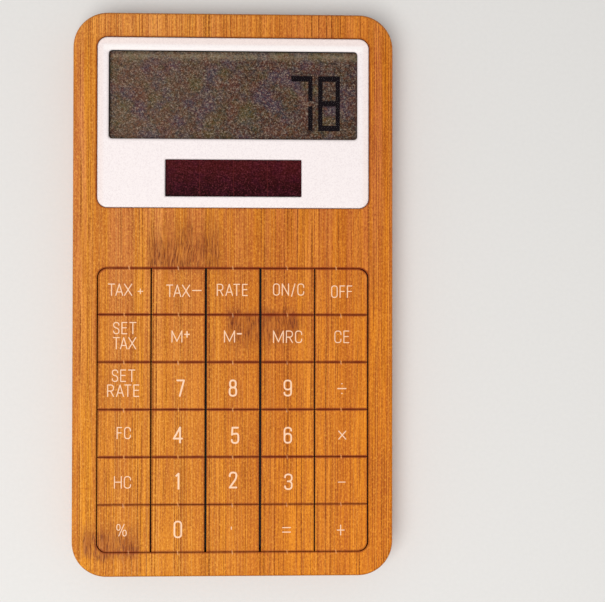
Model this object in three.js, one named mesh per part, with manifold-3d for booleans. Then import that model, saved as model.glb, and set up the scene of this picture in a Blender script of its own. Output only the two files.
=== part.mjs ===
// A desk calculator in bamboo: a milled shell whose thirty keys are cut out of its own face, a white
// display bezel with an LCD and a solar cell, and the works between the shell and a screwed back cover.
// Millimetres. +X is to the right of the key face, +Y points to the display and +Z out of the face.
// The origin is under the middle of the body, on the surface that the rubber feet stand on.
import * as THREE from "three";
import { mergeVertices } from "three/addons/utils/BufferGeometryUtils.js";
import Module from "manifold-3d";

const wasm = await Module();
wasm.setup();

// Key grid
const outerKeyPitch = 16.7; // the columns at the far left and right
const innerKeyPitch = 17.0; // the three columns between them
const topRowPitch = 14.5;
const rowPitch = 14.78; // the five rows below the top one
const rowGap = 0.3; // saw cut between two rows
const columnGap = 0.42; // mean saw cut between two columns
const columnGapShares = [0.74, 0.9, 1.19, 1.33, 0.9, 0.93]; // of the mean, from left to right
const keypadCornerRadius = 3.1;
const keypadSideMargin = 7.8;
const bottomMargin = 7.7;
const keyTravel = 1.0;

// Display end
const topMargin = 7.5; // bamboo above the bezel
const bezelSideMargin = 7.4; // bamboo beside the bezel
const bezelCornerRadius = 3.3;
const windowTopMargin = 4.3; // white above the LCD window
const windowSideMargin = 3.85;
const windowLength = 27.6;
const windowCornerRadius = 0.6;
const windowGap = 6.4; // white between the LCD window and the solar window
const solarWindowWidth = 42.6;
const solarWindowLength = 11.6;
const solarCornerRadius = 0.3;
const solarBottomMargin = 3.7;
const middleBand = 18.8; // bamboo between the bezel and the keys

// Body
const bodyCornerRadius = 10.8;
const edgeRound = 0.6; // rounding of the outer edges
const shellTop = 2.0; // thickness of the face, and of the keys cut from it
const shellWall = 4.0;
const coverThickness = 2.4;

// Bezel, lens, LCD and the tray that holds them
const bezelInset = 0.1; // how far the white face lies below the bamboo
const bezelFit = 0.2; // gap all round in the shell's opening
const bezelPlate = 1.4;
const bezelSkirt = 1.2; // wall of the bezel's rim
const bezelFlangeWidth = 1.4; // lap under the shell's face
const bezelFlange = 1.0;
const lensThickness = 0.8;
const glassThickness = 1.1; // each of the LCD's two glasses
const reflectorThickness = 0.3;
const trayFloor = 1.3;
const trayWall = 0.8;
const trayFit = 0.2;
const panelLapShare = 0.22; // laps are shares of the white between the windows
const ledgeShare = 0.31;
const solarLapShare = 0.16;
const solarThickness = 1.1;
const zebraEndMargin = 4.0;
const zebraFit = 0.25;

// Key plungers, the frame that guides them and the rubber domes that lift them
const stemWidth = 6.0;
const stemLength = 5.0;
const stemFit = 0.3;
const stemFlangeLap = 0.8; // the foot of the plunger is wider than its hole
const stemFlange = 0.7;
const runGap = 0.3; // running gap above and below the plunger's foot
const pressGap = 0.2; // left under a key that is pressed down fully
const framePlate = 1.1;
const frameFit = 1.2; // gap between the frame and the shell's walls
const frameLap = 2.2; // how far the frame reaches past the keys towards the display
const rimFit = 0.3;
const domeHeight = 1.8;
const domeBaseRadius = 3.6;
const domeTopRadius = 2.2;
const domeWall = 0.5;
const sheetThickness = 0.6;
const sheetInset = 2.0;

// Circuit board and the plastic pins that are melted over behind it
const boardThickness = 1.2;
const boardGap = 0.6; // between the board and the cover, filled by the pin heads
const boardFit = 1.0;
const postRadius = 1.5;
const pinRadius = 0.8;
const pinFit = 0.2;
const pinHeadRadius = 1.4;
const framePinShares = [0.1, 0.5, 0.9]; // along the keypad
const chipRadius = 6.0;
const chipHeight = 1.3;
const chipShare = -0.5; // places across the middle band are shares of half the body's width
const capacitorRadius = 2.0;
const capacitorLength = 6.0;
const capacitorShare = 0.02;
const capacitorSleeve = 0.2;
const legThickness = 0.5;
const legReach = 1.2;
const leadRadius = 0.5;
const leadGap = 0.2;
const leadInset = 3.5; // from the end of the solar cell
const leadSweep = 4.0; // sideways run of a lead on its way down

// Battery
const cellRadius = 5.8;
const cellThickness = 3.05;
const cellFit = 0.25;
const cellShare = 0.56;
const cellStep = 0.5; // the negative face is raised and smaller
const cellStepInset = 0.9;
const holderWall = 0.9;
const holderFlange = 1.0;
const holderFlangeLap = 1.2;
const holderFit = 0.3;
const contactThickness = 0.3;
const contactWidth = 3.0;
const contactGap = 0.2;
const contactTail = 2.0;
const doorThickness = 1.4;
const doorFit = 0.2;
const doorLedge = 1.6;
const doorCornerRadius = 2.0;
const doorPadRadius = 4.0;
const doorPadGap = 0.3;

// Screws and feet
const screwEdge = 3.3; // from a case screw's axis to the rounded corner
const bossRadius = 2.9;
const bossFit = 0.4;
const shankRadius = 1.1;
const shankFit = 0.15;
const shankLength = 6.0;
const headRadius = 2.0;
const headHeight = 1.2;
const headFit = 0.4;
const headSink = 0.2; // how far a head lies below the surface round it
const driveWidth = 0.6;
const driveReachShare = 0.62; // of the head's radius
const driveDepth = 0.6;
const tipShare = 0.25; // radius of a screw's tip, of its shank's
const doorShankRadius = 0.8;
const doorShankLength = 4.2;
const doorHeadRadius = 1.6;
const doorHeadHeight = 0.7;
const doorBossWall = 1.2;
const tipGap = 0.4;
const footRadius = 4.0;
const footProud = 0.8;
const footSink = 0.6; // depth of its pocket in the cover
const footFit = 0.2;
const footEdge = 0.3;
const footInset = 12.0;

// Working values of the drawing
const overrun = 1.0; // how far a cutting shape runs past the face that it cuts
const cornerSteps = 6;
const roundSides = 16;
const edgeSteps = 2;
const smallSides = 12;
const domeSides = 8;
const leadSides = 4;
const leadSteps = 8;

// Places across the body: the cut lines between columns, their widths, and the columns' middles
const columnPitches = [outerKeyPitch, innerKeyPitch, innerKeyPitch, innerKeyPitch, outerKeyPitch];
const keypadWidth = columnPitches.reduce((sum, pitch) => sum + pitch);
const columnLines = columnPitches.reduce((xs, pitch) => [...xs, xs.at(-1) + pitch], [-keypadWidth / 2]);
const columnGaps = columnGapShares.map((share) => share * columnGap);
const bodyWidth = keypadWidth + 2 * keypadSideMargin;

// Places along the body, from the bottom edge up
const rowPitches = [topRowPitch, rowPitch, rowPitch, rowPitch, rowPitch, rowPitch];
const keypadLength = rowPitches.reduce((sum, pitch) => sum + pitch);
const bezelLength = windowTopMargin + windowLength + windowGap + solarWindowLength + solarBottomMargin;
const bodyLength = topMargin + bezelLength + middleBand + keypadLength + bottomMargin;
const keypadTop = -bodyLength / 2 + bottomMargin + keypadLength;
const rowLines = rowPitches.reduce((ys, pitch) => [...ys, ys.at(-1) - pitch], [keypadTop]);
const bandMiddle = keypadTop + middleBand / 2;

// Levels, from the feet up to the face
const coverTop = footProud + coverThickness;
const boardUnder = coverTop + boardGap;
const boardTop = boardUnder + boardThickness;
const sheetTop = boardTop + sheetThickness;
const domeTop = sheetTop + domeHeight;
const stemUnder = domeTop + runGap;
const frameUnder = stemUnder + stemFlange + runGap;
const frameTop = frameUnder + framePlate;
const plateUnder = frameTop + pressGap + keyTravel;
const faceLevel = plateUnder + shellTop;
const bezelFace = faceLevel - bezelInset;
const bezelUnder = bezelFace - bezelPlate;
const lensUnder = bezelUnder - lensThickness;
const upperGlassUnder = lensUnder - glassThickness;
const lowerGlassUnder = upperGlassUnder - glassThickness;
const reflectorUnder = lowerGlassUnder - reflectorThickness;
const trayUnder = reflectorUnder - trayFloor;
const solarUnder = bezelUnder - solarThickness;
const doorTop = footProud + doorThickness;

// A rectangle in plan, and the same one with each side moved outwards
const area = (left, right, bottom, top) => ({ left, right, bottom, top });
function grown({ left, right, bottom, top }, by) {
  return area(left - by, right + by, bottom - by, top + by);
}
function around(x, y, width, length) {
  return area(x - width / 2, x + width / 2, y - length / 2, y + length / 2);
}

// Plan areas of the body and of the display end
const body = around(0, 0, bodyWidth, bodyLength);
const cavity = grown(body, -shellWall);
const bezelOpening = area(
  body.left + bezelSideMargin,
  body.right - bezelSideMargin,
  body.top - topMargin - bezelLength,
  body.top - topMargin,
);
const lcdWindow = area(
  bezelOpening.left + windowSideMargin,
  bezelOpening.right - windowSideMargin,
  bezelOpening.top - windowTopMargin - windowLength,
  bezelOpening.top - windowTopMargin,
);
const solarWindow = around(
  0,
  bezelOpening.bottom + solarBottomMargin + solarWindowLength / 2,
  solarWindowWidth,
  solarWindowLength,
);
const lowerGlassBottom = lcdWindow.bottom - panelLapShare * windowGap;
const upperGlassBottom = lowerGlassBottom - ledgeShare * windowGap;
const trayInside = {
  ...grown(bezelOpening, -(bezelFit + bezelSkirt + trayFit + trayWall)),
  bottom: upperGlassBottom - trayFit,
};
const tray = grown(trayInside, trayWall);
const upperGlass = grown(trayInside, -trayFit);
const lowerGlass = { ...upperGlass, bottom: lowerGlassBottom };
const solarGlassArea = grown(solarWindow, solarLapShare * windowGap);
const zebra = area(
  upperGlass.left + zebraEndMargin,
  upperGlass.right - zebraEndMargin,
  upperGlassBottom + zebraFit,
  lowerGlassBottom - zebraFit,
);

// Plan areas of the keypad
const keypadOpening = area(
  columnLines[0] - columnGaps[0] / 2,
  columnLines.at(-1) + columnGaps.at(-1) / 2,
  rowLines.at(-1) - rowGap / 2,
  rowLines[0] + rowGap / 2,
);
const frame = { ...grown(cavity, -frameFit), top: keypadTop + frameLap };
const keyCentres = rowPitches.map((rowSize, row) =>
  columnPitches.map((columnSize, column) => ({
    x: columnLines[column] + columnSize / 2,
    y: rowLines[row] - rowSize / 2,
  })),
);

// Places of the fastenings: a case screw stands on each corner's diagonal
const screwReach = (bodyCornerRadius - screwEdge) * Math.SQRT1_2;
const screwX = bodyWidth / 2 - bodyCornerRadius + screwReach;
const screwY = bodyLength / 2 - bodyCornerRadius + screwReach;
const corners = [
  [-1, 1],
  [1, 1],
  [-1, -1],
  [1, -1],
];
const screwPlaces = corners.map(([x, y]) => [x * screwX, y * screwY]);
const footPlaces = corners.map(([x, y]) => [
  x * (bodyWidth / 2 - footInset),
  y * (bodyLength / 2 - footInset),
]);
const framePins = framePinShares.flatMap((share) => [
  [frame.left + postRadius, rowLines.at(-1) + share * keypadLength],
  [frame.right - postRadius, rowLines.at(-1) + share * keypadLength],
]);
const trayPins = [
  [tray.left + postRadius, tray.top - postRadius],
  [tray.right - postRadius, tray.top - postRadius],
  [tray.left + postRadius, tray.bottom + postRadius],
  [tray.right - postRadius, tray.bottom + postRadius],
];
const cellX = (cellShare * bodyWidth) / 2;
const cellHoleRadius = cellRadius + cellFit;
const holderRadius = cellHoleRadius + holderWall;
const doorBossRadius = doorShankRadius + shankFit + doorBossWall;
const doorScrewX = cellX - Math.max(cellHoleRadius + doorHeadRadius + headFit, holderRadius) - doorBossWall;
const doorRecess = area(
  doorScrewX - doorHeadRadius - headFit - doorLedge,
  cellX + cellHoleRadius + doorLedge,
  bandMiddle - cellHoleRadius - doorLedge,
  bandMiddle + cellHoleRadius + doorLedge,
);

// Finishes
const finish = (color, roughness, metalness = 0) =>
  new THREE.MeshStandardMaterial({ color, roughness, metalness });
const bamboo = finish(0xd0823a, 0.55);
const whitePlastic = finish(0xf4ecea, 0.6);
const clearPlastic = finish(0xbfc3bc, 0.08);
clearPlastic.transparent = true;
clearPlastic.opacity = 0.3;
const lcdGlass = finish(0x5e4b3f, 0.2);
const reflectorFoil = finish(0x9a9a92, 0.35, 0.9);
const blackPlastic = finish(0x1d1c1b, 0.55);
const zebraRubber = finish(0xb9b2a6, 0.8);
const solarGlass = finish(0x41161a, 0.2);
const greenBoard = finish(0x2f6b3a, 0.5);
const blackEpoxy = finish(0x101010, 0.35);
const sleeve = finish(0x20304f, 0.4);
const greySilicone = finish(0x8d9299, 0.8);
const nickel = finish(0xb8b5ac, 0.3, 0.9);
const steel = finish(0x8f8f92, 0.35, 0.95);
const redWire = finish(0xa8231f, 0.5);
const blackWire = finish(0x161616, 0.5);
const blackRubber = finish(0x242322, 0.9);

// A closed three.js geometry as a solid that can be joined and cut
function solidOf(geometry) {
  geometry.deleteAttribute("normal");
  geometry.deleteAttribute("uv");
  const merged = mergeVertices(geometry);
  return new wasm.Manifold(
    new wasm.Mesh({
      numProp: 3,
      vertProperties: merged.attributes.position.array,
      triVerts: new Uint32Array(merged.index.array),
    }),
  );
}

// A rectangle with its corners rounded, by one radius or by four of them in the order that is named here
function outline({ left, right, bottom, top }, radii) {
  const [topRight, topLeft, bottomLeft, bottomRight] = radii.length ? radii : Array(4).fill(radii);
  const shape = new THREE.Shape();
  const turn = (x, y, radius, quarter, inwardX, inwardY) =>
    radius > 0
      ? shape.absarc(
          x + inwardX * radius,
          y + inwardY * radius,
          radius,
          (quarter * Math.PI) / 2,
          ((quarter + 1) * Math.PI) / 2,
        )
      : shape.lineTo(x, y);
  shape.moveTo(right, top - topRight);
  turn(right, top, topRight, 0, -1, -1);
  turn(left, top, topLeft, 1, 1, -1);
  turn(left, bottom, bottomLeft, 2, 1, 1);
  turn(right, bottom, bottomRight, 3, -1, 1);
  return shape;
}

// Solids between two levels: a plain outline, one with rounded edges, a block, a cone and a cylinder
function slab(shape, low, high) {
  const options = { depth: high - low, bevelEnabled: false, curveSegments: cornerSteps };
  return solidOf(new THREE.ExtrudeGeometry(shape, options).translate(0, 0, low));
}
function softSlab(shape, low, high, radius) {
  const options = {
    depth: high - low - 2 * radius,
    bevelThickness: radius,
    bevelSize: radius,
    bevelOffset: -radius,
    bevelSegments: edgeSteps,
    curveSegments: cornerSteps,
  };
  return solidOf(new THREE.ExtrudeGeometry(shape, options).translate(0, 0, low + radius));
}
function block({ left, right, bottom, top }, low, high) {
  const box = new THREE.BoxGeometry(right - left, top - bottom, high - low);
  return solidOf(box.translate((left + right) / 2, (bottom + top) / 2, (low + high) / 2));
}
function cone([x, y], lowRadius, highRadius, low, high, sides = roundSides) {
  const geometry = new THREE.CylinderGeometry(highRadius, lowRadius, high - low, sides);
  return solidOf(geometry.rotateX(Math.PI / 2).translate(x, y, (low + high) / 2));
}
function cylinder(place, radius, low, high, sides = roundSides) {
  return cone(place, radius, radius, low, high, sides);
}

// Joins and cuts of many solids
const joined = (first, ...others) => others.reduce((all, solid) => all.add(solid), first);
const cut = (first, ...others) => others.reduce((rest, solid) => rest.subtract(solid), first);

// A named piece of the assembly, set down in a group at a place of its own
function piece(name, solid, material, group, [x, y, z] = [0, 0, 0]) {
  const { vertProperties, triVerts } = solid.getMesh();
  const geometry = new THREE.BufferGeometry();
  geometry.setAttribute("position", new THREE.BufferAttribute(vertProperties, 3));
  geometry.setIndex(new THREE.BufferAttribute(triVerts, 1));
  geometry.computeVertexNormals();
  const mesh = new THREE.Mesh(geometry, material);
  mesh.name = name;
  mesh.position.set(x, y, z);
  group.add(mesh);
}

// The whole body with its edges rounded, which the seam of the back cover divides
const bodyBlock = softSlab(outline(body, bodyCornerRadius), footProud, faceLevel, edgeRound);
const beyondBody = grown(body, overrun);

// Front shell: walls and face, the bezel's and the keys' openings, and a screw boss in each corner
function frontShell() {
  const upper = cut(bodyBlock, block(beyondBody, footProud - overrun, coverTop));
  const hollow = slab(outline(cavity, bodyCornerRadius - shellWall), coverTop - overrun, plateUnder);
  const bosses = screwPlaces.map((place) =>
    cylinder(place, bossRadius, coverTop, faceLevel - shellTop / 2).intersect(bodyBlock),
  );
  const tip = footProud + headSink + headHeight + shankLength + tipGap;
  const holes = screwPlaces.map((place) =>
    cylinder(place, shankRadius + shankFit, coverTop - overrun, tip, smallSides),
  );
  const openings = [
    outline(bezelOpening, bezelCornerRadius),
    outline(keypadOpening, keypadCornerRadius + rowGap / 2),
  ].map((shape) => slab(shape, plateUnder - overrun, faceLevel + overrun));
  return cut(joined(cut(upper, hollow), ...bosses), ...holes, ...openings);
}

// Back cover: pockets for the feet, sunk screw holes, and the recess and hole of the battery door
function backCover() {
  const lower = cut(bodyBlock, block(beyondBody, coverTop, faceLevel + overrun));
  const pockets = footPlaces.map((place) =>
    cylinder(place, footRadius + footFit, footProud - overrun, footProud + footSink),
  );
  const screwHoles = screwPlaces.flatMap((place) => [
    cylinder(place, headRadius + headFit, footProud - overrun, footProud + headSink + headHeight),
    cylinder(place, shankRadius + shankFit, footProud, coverTop + overrun, smallSides),
  ]);
  const recess = slab(outline(doorRecess, doorCornerRadius), footProud - overrun, doorTop);
  const cellHole = cylinder([cellX, bandMiddle], cellHoleRadius, footProud, coverTop + overrun);
  const doorScrewHole = cylinder(
    [doorScrewX, bandMiddle],
    doorShankRadius + shankFit,
    footProud,
    coverTop + overrun,
    smallSides,
  );
  return cut(lower, ...pockets, ...screwHoles, recess, cellHole, doorScrewHole);
}

// Display bezel: a white plate with a skirt and a flange, whose corners clear the screw bosses
function displayBezel() {
  const skirtUnder = plateUnder - bezelFlange;
  const plugOutline = outline(grown(bezelOpening, -bezelFit), bezelCornerRadius - bezelFit);
  const plug = slab(plugOutline, skirtUnder, bezelFace);
  const flangeArea = grown(bezelOpening, bezelFlangeWidth);
  const flange = slab(outline(flangeArea, bezelCornerRadius + bezelFlangeWidth), skirtUnder, plateUnder);
  const inside = slab(
    outline(grown(bezelOpening, -(bezelFit + bezelSkirt)), bezelCornerRadius - bezelFit - bezelSkirt),
    skirtUnder - overrun,
    bezelUnder,
  );
  const windows = [outline(lcdWindow, windowCornerRadius), outline(solarWindow, solarCornerRadius)].map(
    (shape) => slab(shape, bezelUnder - overrun, bezelFace + overrun),
  );
  const notches = screwPlaces.map((place) =>
    cylinder(place, bossRadius + bossFit, skirtUnder - overrun, plateUnder),
  );
  return cut(plug.add(flange), inside, ...windows, ...notches);
}

// A post that stands on the board, with a pin through it and a head melted over behind it
function stakedPost(place, top) {
  return joined(
    cylinder(place, postRadius, boardTop, top, smallSides),
    cylinder(place, pinRadius, coverTop + boardGap / 2, boardTop + (top - boardTop) / 2, smallSides),
    cylinder(place, pinHeadRadius, coverTop, boardUnder, smallSides),
  );
}

// LCD tray: a floor and walls up to the bezel, a slot for the connector, and four staked posts
function lcdTray() {
  const radius = bezelCornerRadius - bezelFit - bezelSkirt - trayFit;
  const walls = slab(outline(tray, radius), trayUnder, bezelUnder);
  const shell = cut(walls, block(trayInside, reflectorUnder, bezelUnder + overrun));
  const slot = block(grown(zebra, zebraFit), trayUnder - overrun, reflectorUnder + overrun);
  const posts = trayPins.map((place) => stakedPost(place, reflectorUnder - trayFloor / 2));
  return joined(cut(shell, slot), ...posts);
}

// LCD: two glasses, the upper one with a ledge whose underside meets the connector
function lcdPanel() {
  const shared = glassThickness / 2; // the glasses are cemented, so the lower one runs into the upper
  return joined(
    block(upperGlass, upperGlassUnder, lensUnder),
    block(lowerGlass, lowerGlassUnder, upperGlassUnder + shared),
  );
}

// Key: a tile of the face with a plunger glued under it; a corner of the keypad rounds its tile
function key(row, column) {
  const { x, y } = keyCentres[row][column];
  const tile = area(
    columnLines[column] + columnGaps[column] / 2 - x,
    columnLines[column + 1] - columnGaps[column + 1] / 2 - x,
    rowLines[row + 1] + rowGap / 2 - y,
    rowLines[row] - rowGap / 2 - y,
  );
  const round = keypadCornerRadius - rowGap / 2;
  const [atTop, atBottom] = [row === 0, row === rowPitches.length - 1];
  const [atLeft, atRight] = [column === 0, column === columnPitches.length - 1];
  const radii = [atTop && atRight, atTop && atLeft, atBottom && atLeft, atBottom && atRight];
  const foot = grown(around(0, 0, stemWidth, stemLength), stemFlangeLap);
  return joined(
    slab(outline(tile, radii.map((rounded) => (rounded ? round : 0))), 0, shellTop),
    block(around(0, 0, stemWidth, stemLength), stemUnder - plateUnder, shellTop / 2),
    block(foot, stemUnder - plateUnder, stemUnder + stemFlange - plateUnder),
  );
}

// Key frame: a plate with a hole for each plunger, a rim up to the shell's face, and staked posts
function keyFrame() {
  const rimInside = grown(keypadOpening, rimFit);
  const dish = cut(block(frame, frameUnder, plateUnder), block(rimInside, frameTop, plateUnder + overrun));
  const holes = keyCentres.flat().map(({ x, y }) =>
    block(grown(around(x, y, stemWidth, stemLength), stemFit), frameUnder - overrun, frameTop + overrun),
  );
  const notches = screwPlaces.map((place) =>
    cylinder(place, bossRadius + bossFit, frameUnder - overrun, plateUnder + overrun),
  );
  const posts = framePins.map((place) => stakedPost(place, frameUnder + framePlate / 2));
  return joined(cut(dish, ...holes, ...notches), ...posts);
}

// Dome sheet: one silicone sheet with a hollow dome under each plunger
function domeSheet() {
  const sheetArea = grown(keypadOpening, -sheetInset);
  const places = keyCentres.flat().map(({ x, y }) => [x, y]);
  const domes = places.map((place) =>
    cone(place, domeBaseRadius, domeTopRadius, boardTop + sheetThickness / 2, domeTop, domeSides),
  );
  const hollows = places.map((place) =>
    cone(
      place,
      domeBaseRadius - domeWall,
      domeTopRadius - domeWall,
      boardTop - overrun,
      domeTop - domeWall,
      domeSides,
    ),
  );
  return cut(joined(block(sheetArea, boardTop, sheetTop), ...domes), ...hollows);
}

// Circuit board: it fills the shell but for the screw bosses, with holes for the pins and the battery
function circuitBoard() {
  const [low, high] = [boardUnder - overrun, boardTop + overrun];
  const boardRadius = bodyCornerRadius - shellWall - boardFit;
  const board = slab(outline(grown(cavity, -boardFit), boardRadius), boardUnder, boardTop);
  const bossCuts = screwPlaces.map((place) => cylinder(place, bossRadius + bossFit, low, high, smallSides));
  const pinHoles = [...framePins, ...trayPins].map((place) =>
    cylinder(place, pinRadius + pinFit, low, high, smallSides),
  );
  const batteryHoles = [
    cylinder([cellX, bandMiddle], holderRadius + holderFit, low, high),
    cylinder([doorScrewX, bandMiddle], doorBossRadius + holderFit, low, high, smallSides),
  ];
  return cut(board, ...bossCuts, ...pinHoles, ...batteryHoles);
}

// Controller chip: a low drop of black epoxy, a quarter of an ellipse turned about its axis
function controllerChip() {
  const steps = 4;
  const arc = Array.from({ length: steps + 1 }, (_, i) => {
    const angle = ((i / steps) * Math.PI) / 2;
    return new THREE.Vector2(chipRadius * Math.cos(angle), chipHeight * Math.sin(angle));
  });
  arc[steps].x = 0;
  const drop = new THREE.LatheGeometry([new THREE.Vector2(0, 0), ...arc], roundSides);
  return solidOf(drop.rotateX(Math.PI / 2));
}

// Capacitor: a can on its side, narrower under its sleeve's ends, with two legs bent to the board
function capacitor() {
  const profile = [
    [0, 0],
    [capacitorRadius - capacitorSleeve, 0],
    [capacitorRadius - capacitorSleeve, capacitorSleeve],
    [capacitorRadius, capacitorSleeve],
    [capacitorRadius, capacitorLength - capacitorSleeve],
    [capacitorRadius - capacitorSleeve, capacitorLength - capacitorSleeve],
    [capacitorRadius - capacitorSleeve, capacitorLength],
    [0, capacitorLength],
  ].map(([radius, along]) => new THREE.Vector2(radius, along));
  const lying = solidOf(new THREE.LatheGeometry(profile, smallSides).rotateZ(-Math.PI / 2));
  const legs = [-1, 1].map((side) => {
    const y = (side * capacitorRadius) / 2;
    const along = { ...around(0, y, 0, legThickness), left: -legReach, right: capacitorSleeve };
    const down = { ...along, right: legThickness - legReach };
    return joined(
      block(along, -legThickness / 2, legThickness / 2),
      block(down, -capacitorRadius, legThickness / 2),
    );
  });
  return joined(lying, ...legs);
}

// Solar lead: a wire that leaves the cell straight down, sweeps sideways and lands straight on the board
function solarLead(side) {
  const [high, low] = [solarUnder - leadGap, boardTop + leadGap];
  const middle = (high + low) / 2;
  const route = new THREE.CubicBezierCurve3(
    new THREE.Vector3(0, 0, high),
    new THREE.Vector3(0, 0, middle),
    new THREE.Vector3(side * leadSweep, 0, middle),
    new THREE.Vector3(side * leadSweep, 0, low),
  );
  const section = new THREE.Shape().absarc(0, 0, leadRadius, 0, 2 * Math.PI);
  const options = { steps: leadSteps, extrudePath: route, curveSegments: leadSides };
  return solidOf(new THREE.ExtrudeGeometry(section, options));
}

// Battery: a can with a smaller raised face, in a holder with two strip contacts
const cellTop = coverTop + cellThickness;
const minusUnder = cellTop + contactGap;
const roofUnder = minusUnder + contactThickness + contactGap;
const holderTop = roofUnder + holderWall;
const flangeRadius = holderRadius + holderFlangeLap;
const cellPlace = [cellX, bandMiddle];
const slotHalf = contactWidth / 2 + contactGap;

function buttonCell() {
  const can = cylinder(cellPlace, cellRadius, coverTop, cellTop - cellStep);
  const face = cylinder(cellPlace, cellRadius - cellStepInset, cellTop - cellStep - cellStep, cellTop);
  return can.add(face);
}

function batteryHolder() {
  const bossPlace = [doorScrewX, bandMiddle];
  const flangeTop = boardTop + holderFlange;
  const bridge = area(
    doorScrewX,
    cellX,
    bandMiddle - doorBossRadius,
    bandMiddle + doorBossRadius,
  );
  const outside = joined(
    cylinder(cellPlace, holderRadius, coverTop, holderTop),
    cylinder(cellPlace, flangeRadius, boardTop, flangeTop),
    cylinder(bossPlace, doorBossRadius, coverTop, holderTop, smallSides),
    cylinder(bossPlace, doorBossRadius + holderFlangeLap, boardTop, flangeTop, smallSides),
    block(bridge, boardTop, flangeTop),
  );
  const beyond = flangeRadius + overrun;
  const plusSlot = area(cellX, cellX + beyond, bandMiddle - slotHalf, bandMiddle + slotHalf);
  const minusSlot = area(cellX - slotHalf, cellX + slotHalf, bandMiddle, bandMiddle + beyond);
  const tip = footProud + headSink + doorHeadHeight + doorShankLength + tipGap;
  return cut(
    outside,
    cylinder(cellPlace, cellHoleRadius, coverTop - overrun, roofUnder),
    cylinder(bossPlace, doorShankRadius + shankFit, coverTop - overrun, tip, smallSides),
    block(plusSlot, coverTop - overrun, flangeTop + overrun),
    block(minusSlot, minusUnder - contactGap, roofUnder),
    block({ ...minusSlot, bottom: bandMiddle + holderRadius }, boardTop - overrun, holderTop),
  );
}

// Positive contact: a spring leg beside the can, and a tail out through the holder's wall to the board
function contactPlus() {
  const inner = cellHoleRadius - contactThickness / 2;
  const leg = area(inner, inner + contactThickness, -contactWidth / 2, contactWidth / 2);
  return joined(
    block(leg, coverTop + contactGap, cellTop - cellStep),
    block({ ...leg, right: flangeRadius + contactTail }, boardTop, boardTop + contactThickness),
  );
}

// Negative contact: a leaf over the raised face, a leg down outside the holder and a tail on the board
function contactMinus() {
  const inner = holderRadius + contactGap;
  const leg = area(-contactWidth / 2, contactWidth / 2, inner, inner + contactThickness);
  return joined(
    block({ ...leg, bottom: -cellRadius / 2 }, minusUnder, minusUnder + contactThickness),
    block(leg, boardTop, minusUnder + contactThickness),
    block({ ...leg, top: flangeRadius + contactTail }, boardTop, boardTop + contactThickness),
  );
}

// Battery door: a plate in the cover's recess, a pad that keeps the cell in, and a sunk screw hole
function batteryDoor() {
  const plate = slab(outline(grown(doorRecess, -doorFit), doorCornerRadius - doorFit), footProud, doorTop);
  const pad = cylinder(cellPlace, doorPadRadius, footProud + doorThickness / 2, coverTop - doorPadGap);
  const place = [doorScrewX, bandMiddle];
  const sinkTop = footProud + headSink + doorHeadHeight;
  const sunk = cylinder(place, doorHeadRadius + headFit, footProud - overrun, sinkTop);
  const hole = cylinder(place, doorShankRadius + shankFit, footProud, doorTop + overrun, smallSides);
  return cut(plate.add(pad), sunk, hole);
}

// Screw with its head down and its tip up, and a cross for the driver
function screw(headR, headH, shankR, shankL) {
  const reach = 2 * driveReachShare * headR;
  const drive = driveDepth * (headH / headHeight);
  const width = driveWidth * (headR / headRadius);
  return cut(
    joined(
      cylinder([0, 0], headR, 0, headH, roundSides),
      cylinder([0, 0], shankR, headH / 2, headH + shankL - shankR, smallSides),
      cone([0, 0], shankR, tipShare * shankR, headH + shankL - shankR, headH + shankL, smallSides),
    ),
    block(around(0, 0, reach, width), -overrun, drive),
    block(around(0, 0, width, reach), -overrun, drive),
  );
}

// Foot: a rubber disc with its lower edge broken
function foot() {
  return joined(
    cone([0, 0], footRadius - footEdge, footRadius, 0, footEdge),
    cylinder([0, 0], footRadius, footEdge, footProud + footSink),
  );
}

// The keys' names, row by row from the display down
const keyNames = [
  ["tax_plus", "tax_minus", "rate", "on_clear", "off"],
  ["set_tax", "memory_plus", "memory_minus", "memory_recall", "clear_entry"],
  ["set_rate", "7", "8", "9", "divide"],
  ["foreign_currency", "4", "5", "6", "multiply"],
  ["home_currency", "1", "2", "3", "minus"],
  ["percent", "0", "decimal", "equals", "plus"],
];

const calculator = new THREE.Group();
const display = new THREE.Group();
const keypad = new THREE.Group();
const electronics = new THREE.Group();
const fastenings = new THREE.Group();
calculator.add(display, keypad, electronics, fastenings);

piece("front_shell", frontShell(), bamboo, calculator);
piece("back_cover", backCover(), bamboo, calculator);

piece("display_bezel", displayBezel(), whitePlastic, display);
piece("display_window", block(lowerGlass, lensUnder, bezelUnder), clearPlastic, display);
piece("lcd_panel", lcdPanel(), lcdGlass, display);
piece("lcd_reflector", block(lowerGlass, reflectorUnder, lowerGlassUnder), reflectorFoil, display);
piece("lcd_tray", lcdTray(), blackPlastic, display);
piece("zebra_connector", block(zebra, boardTop, upperGlassUnder), zebraRubber, display);
piece("solar_cell", block(solarGlassArea, solarUnder, bezelUnder), solarGlass, display);

keyNames.forEach((names, row) =>
  names.forEach((name, column) => {
    const { x, y } = keyCentres[row][column];
    piece("key_" + name, key(row, column), bamboo, keypad, [x, y, plateUnder]);
  }),
);
piece("key_frame", keyFrame(), blackPlastic, keypad);
piece("dome_sheet", domeSheet(), greySilicone, keypad);

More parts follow.
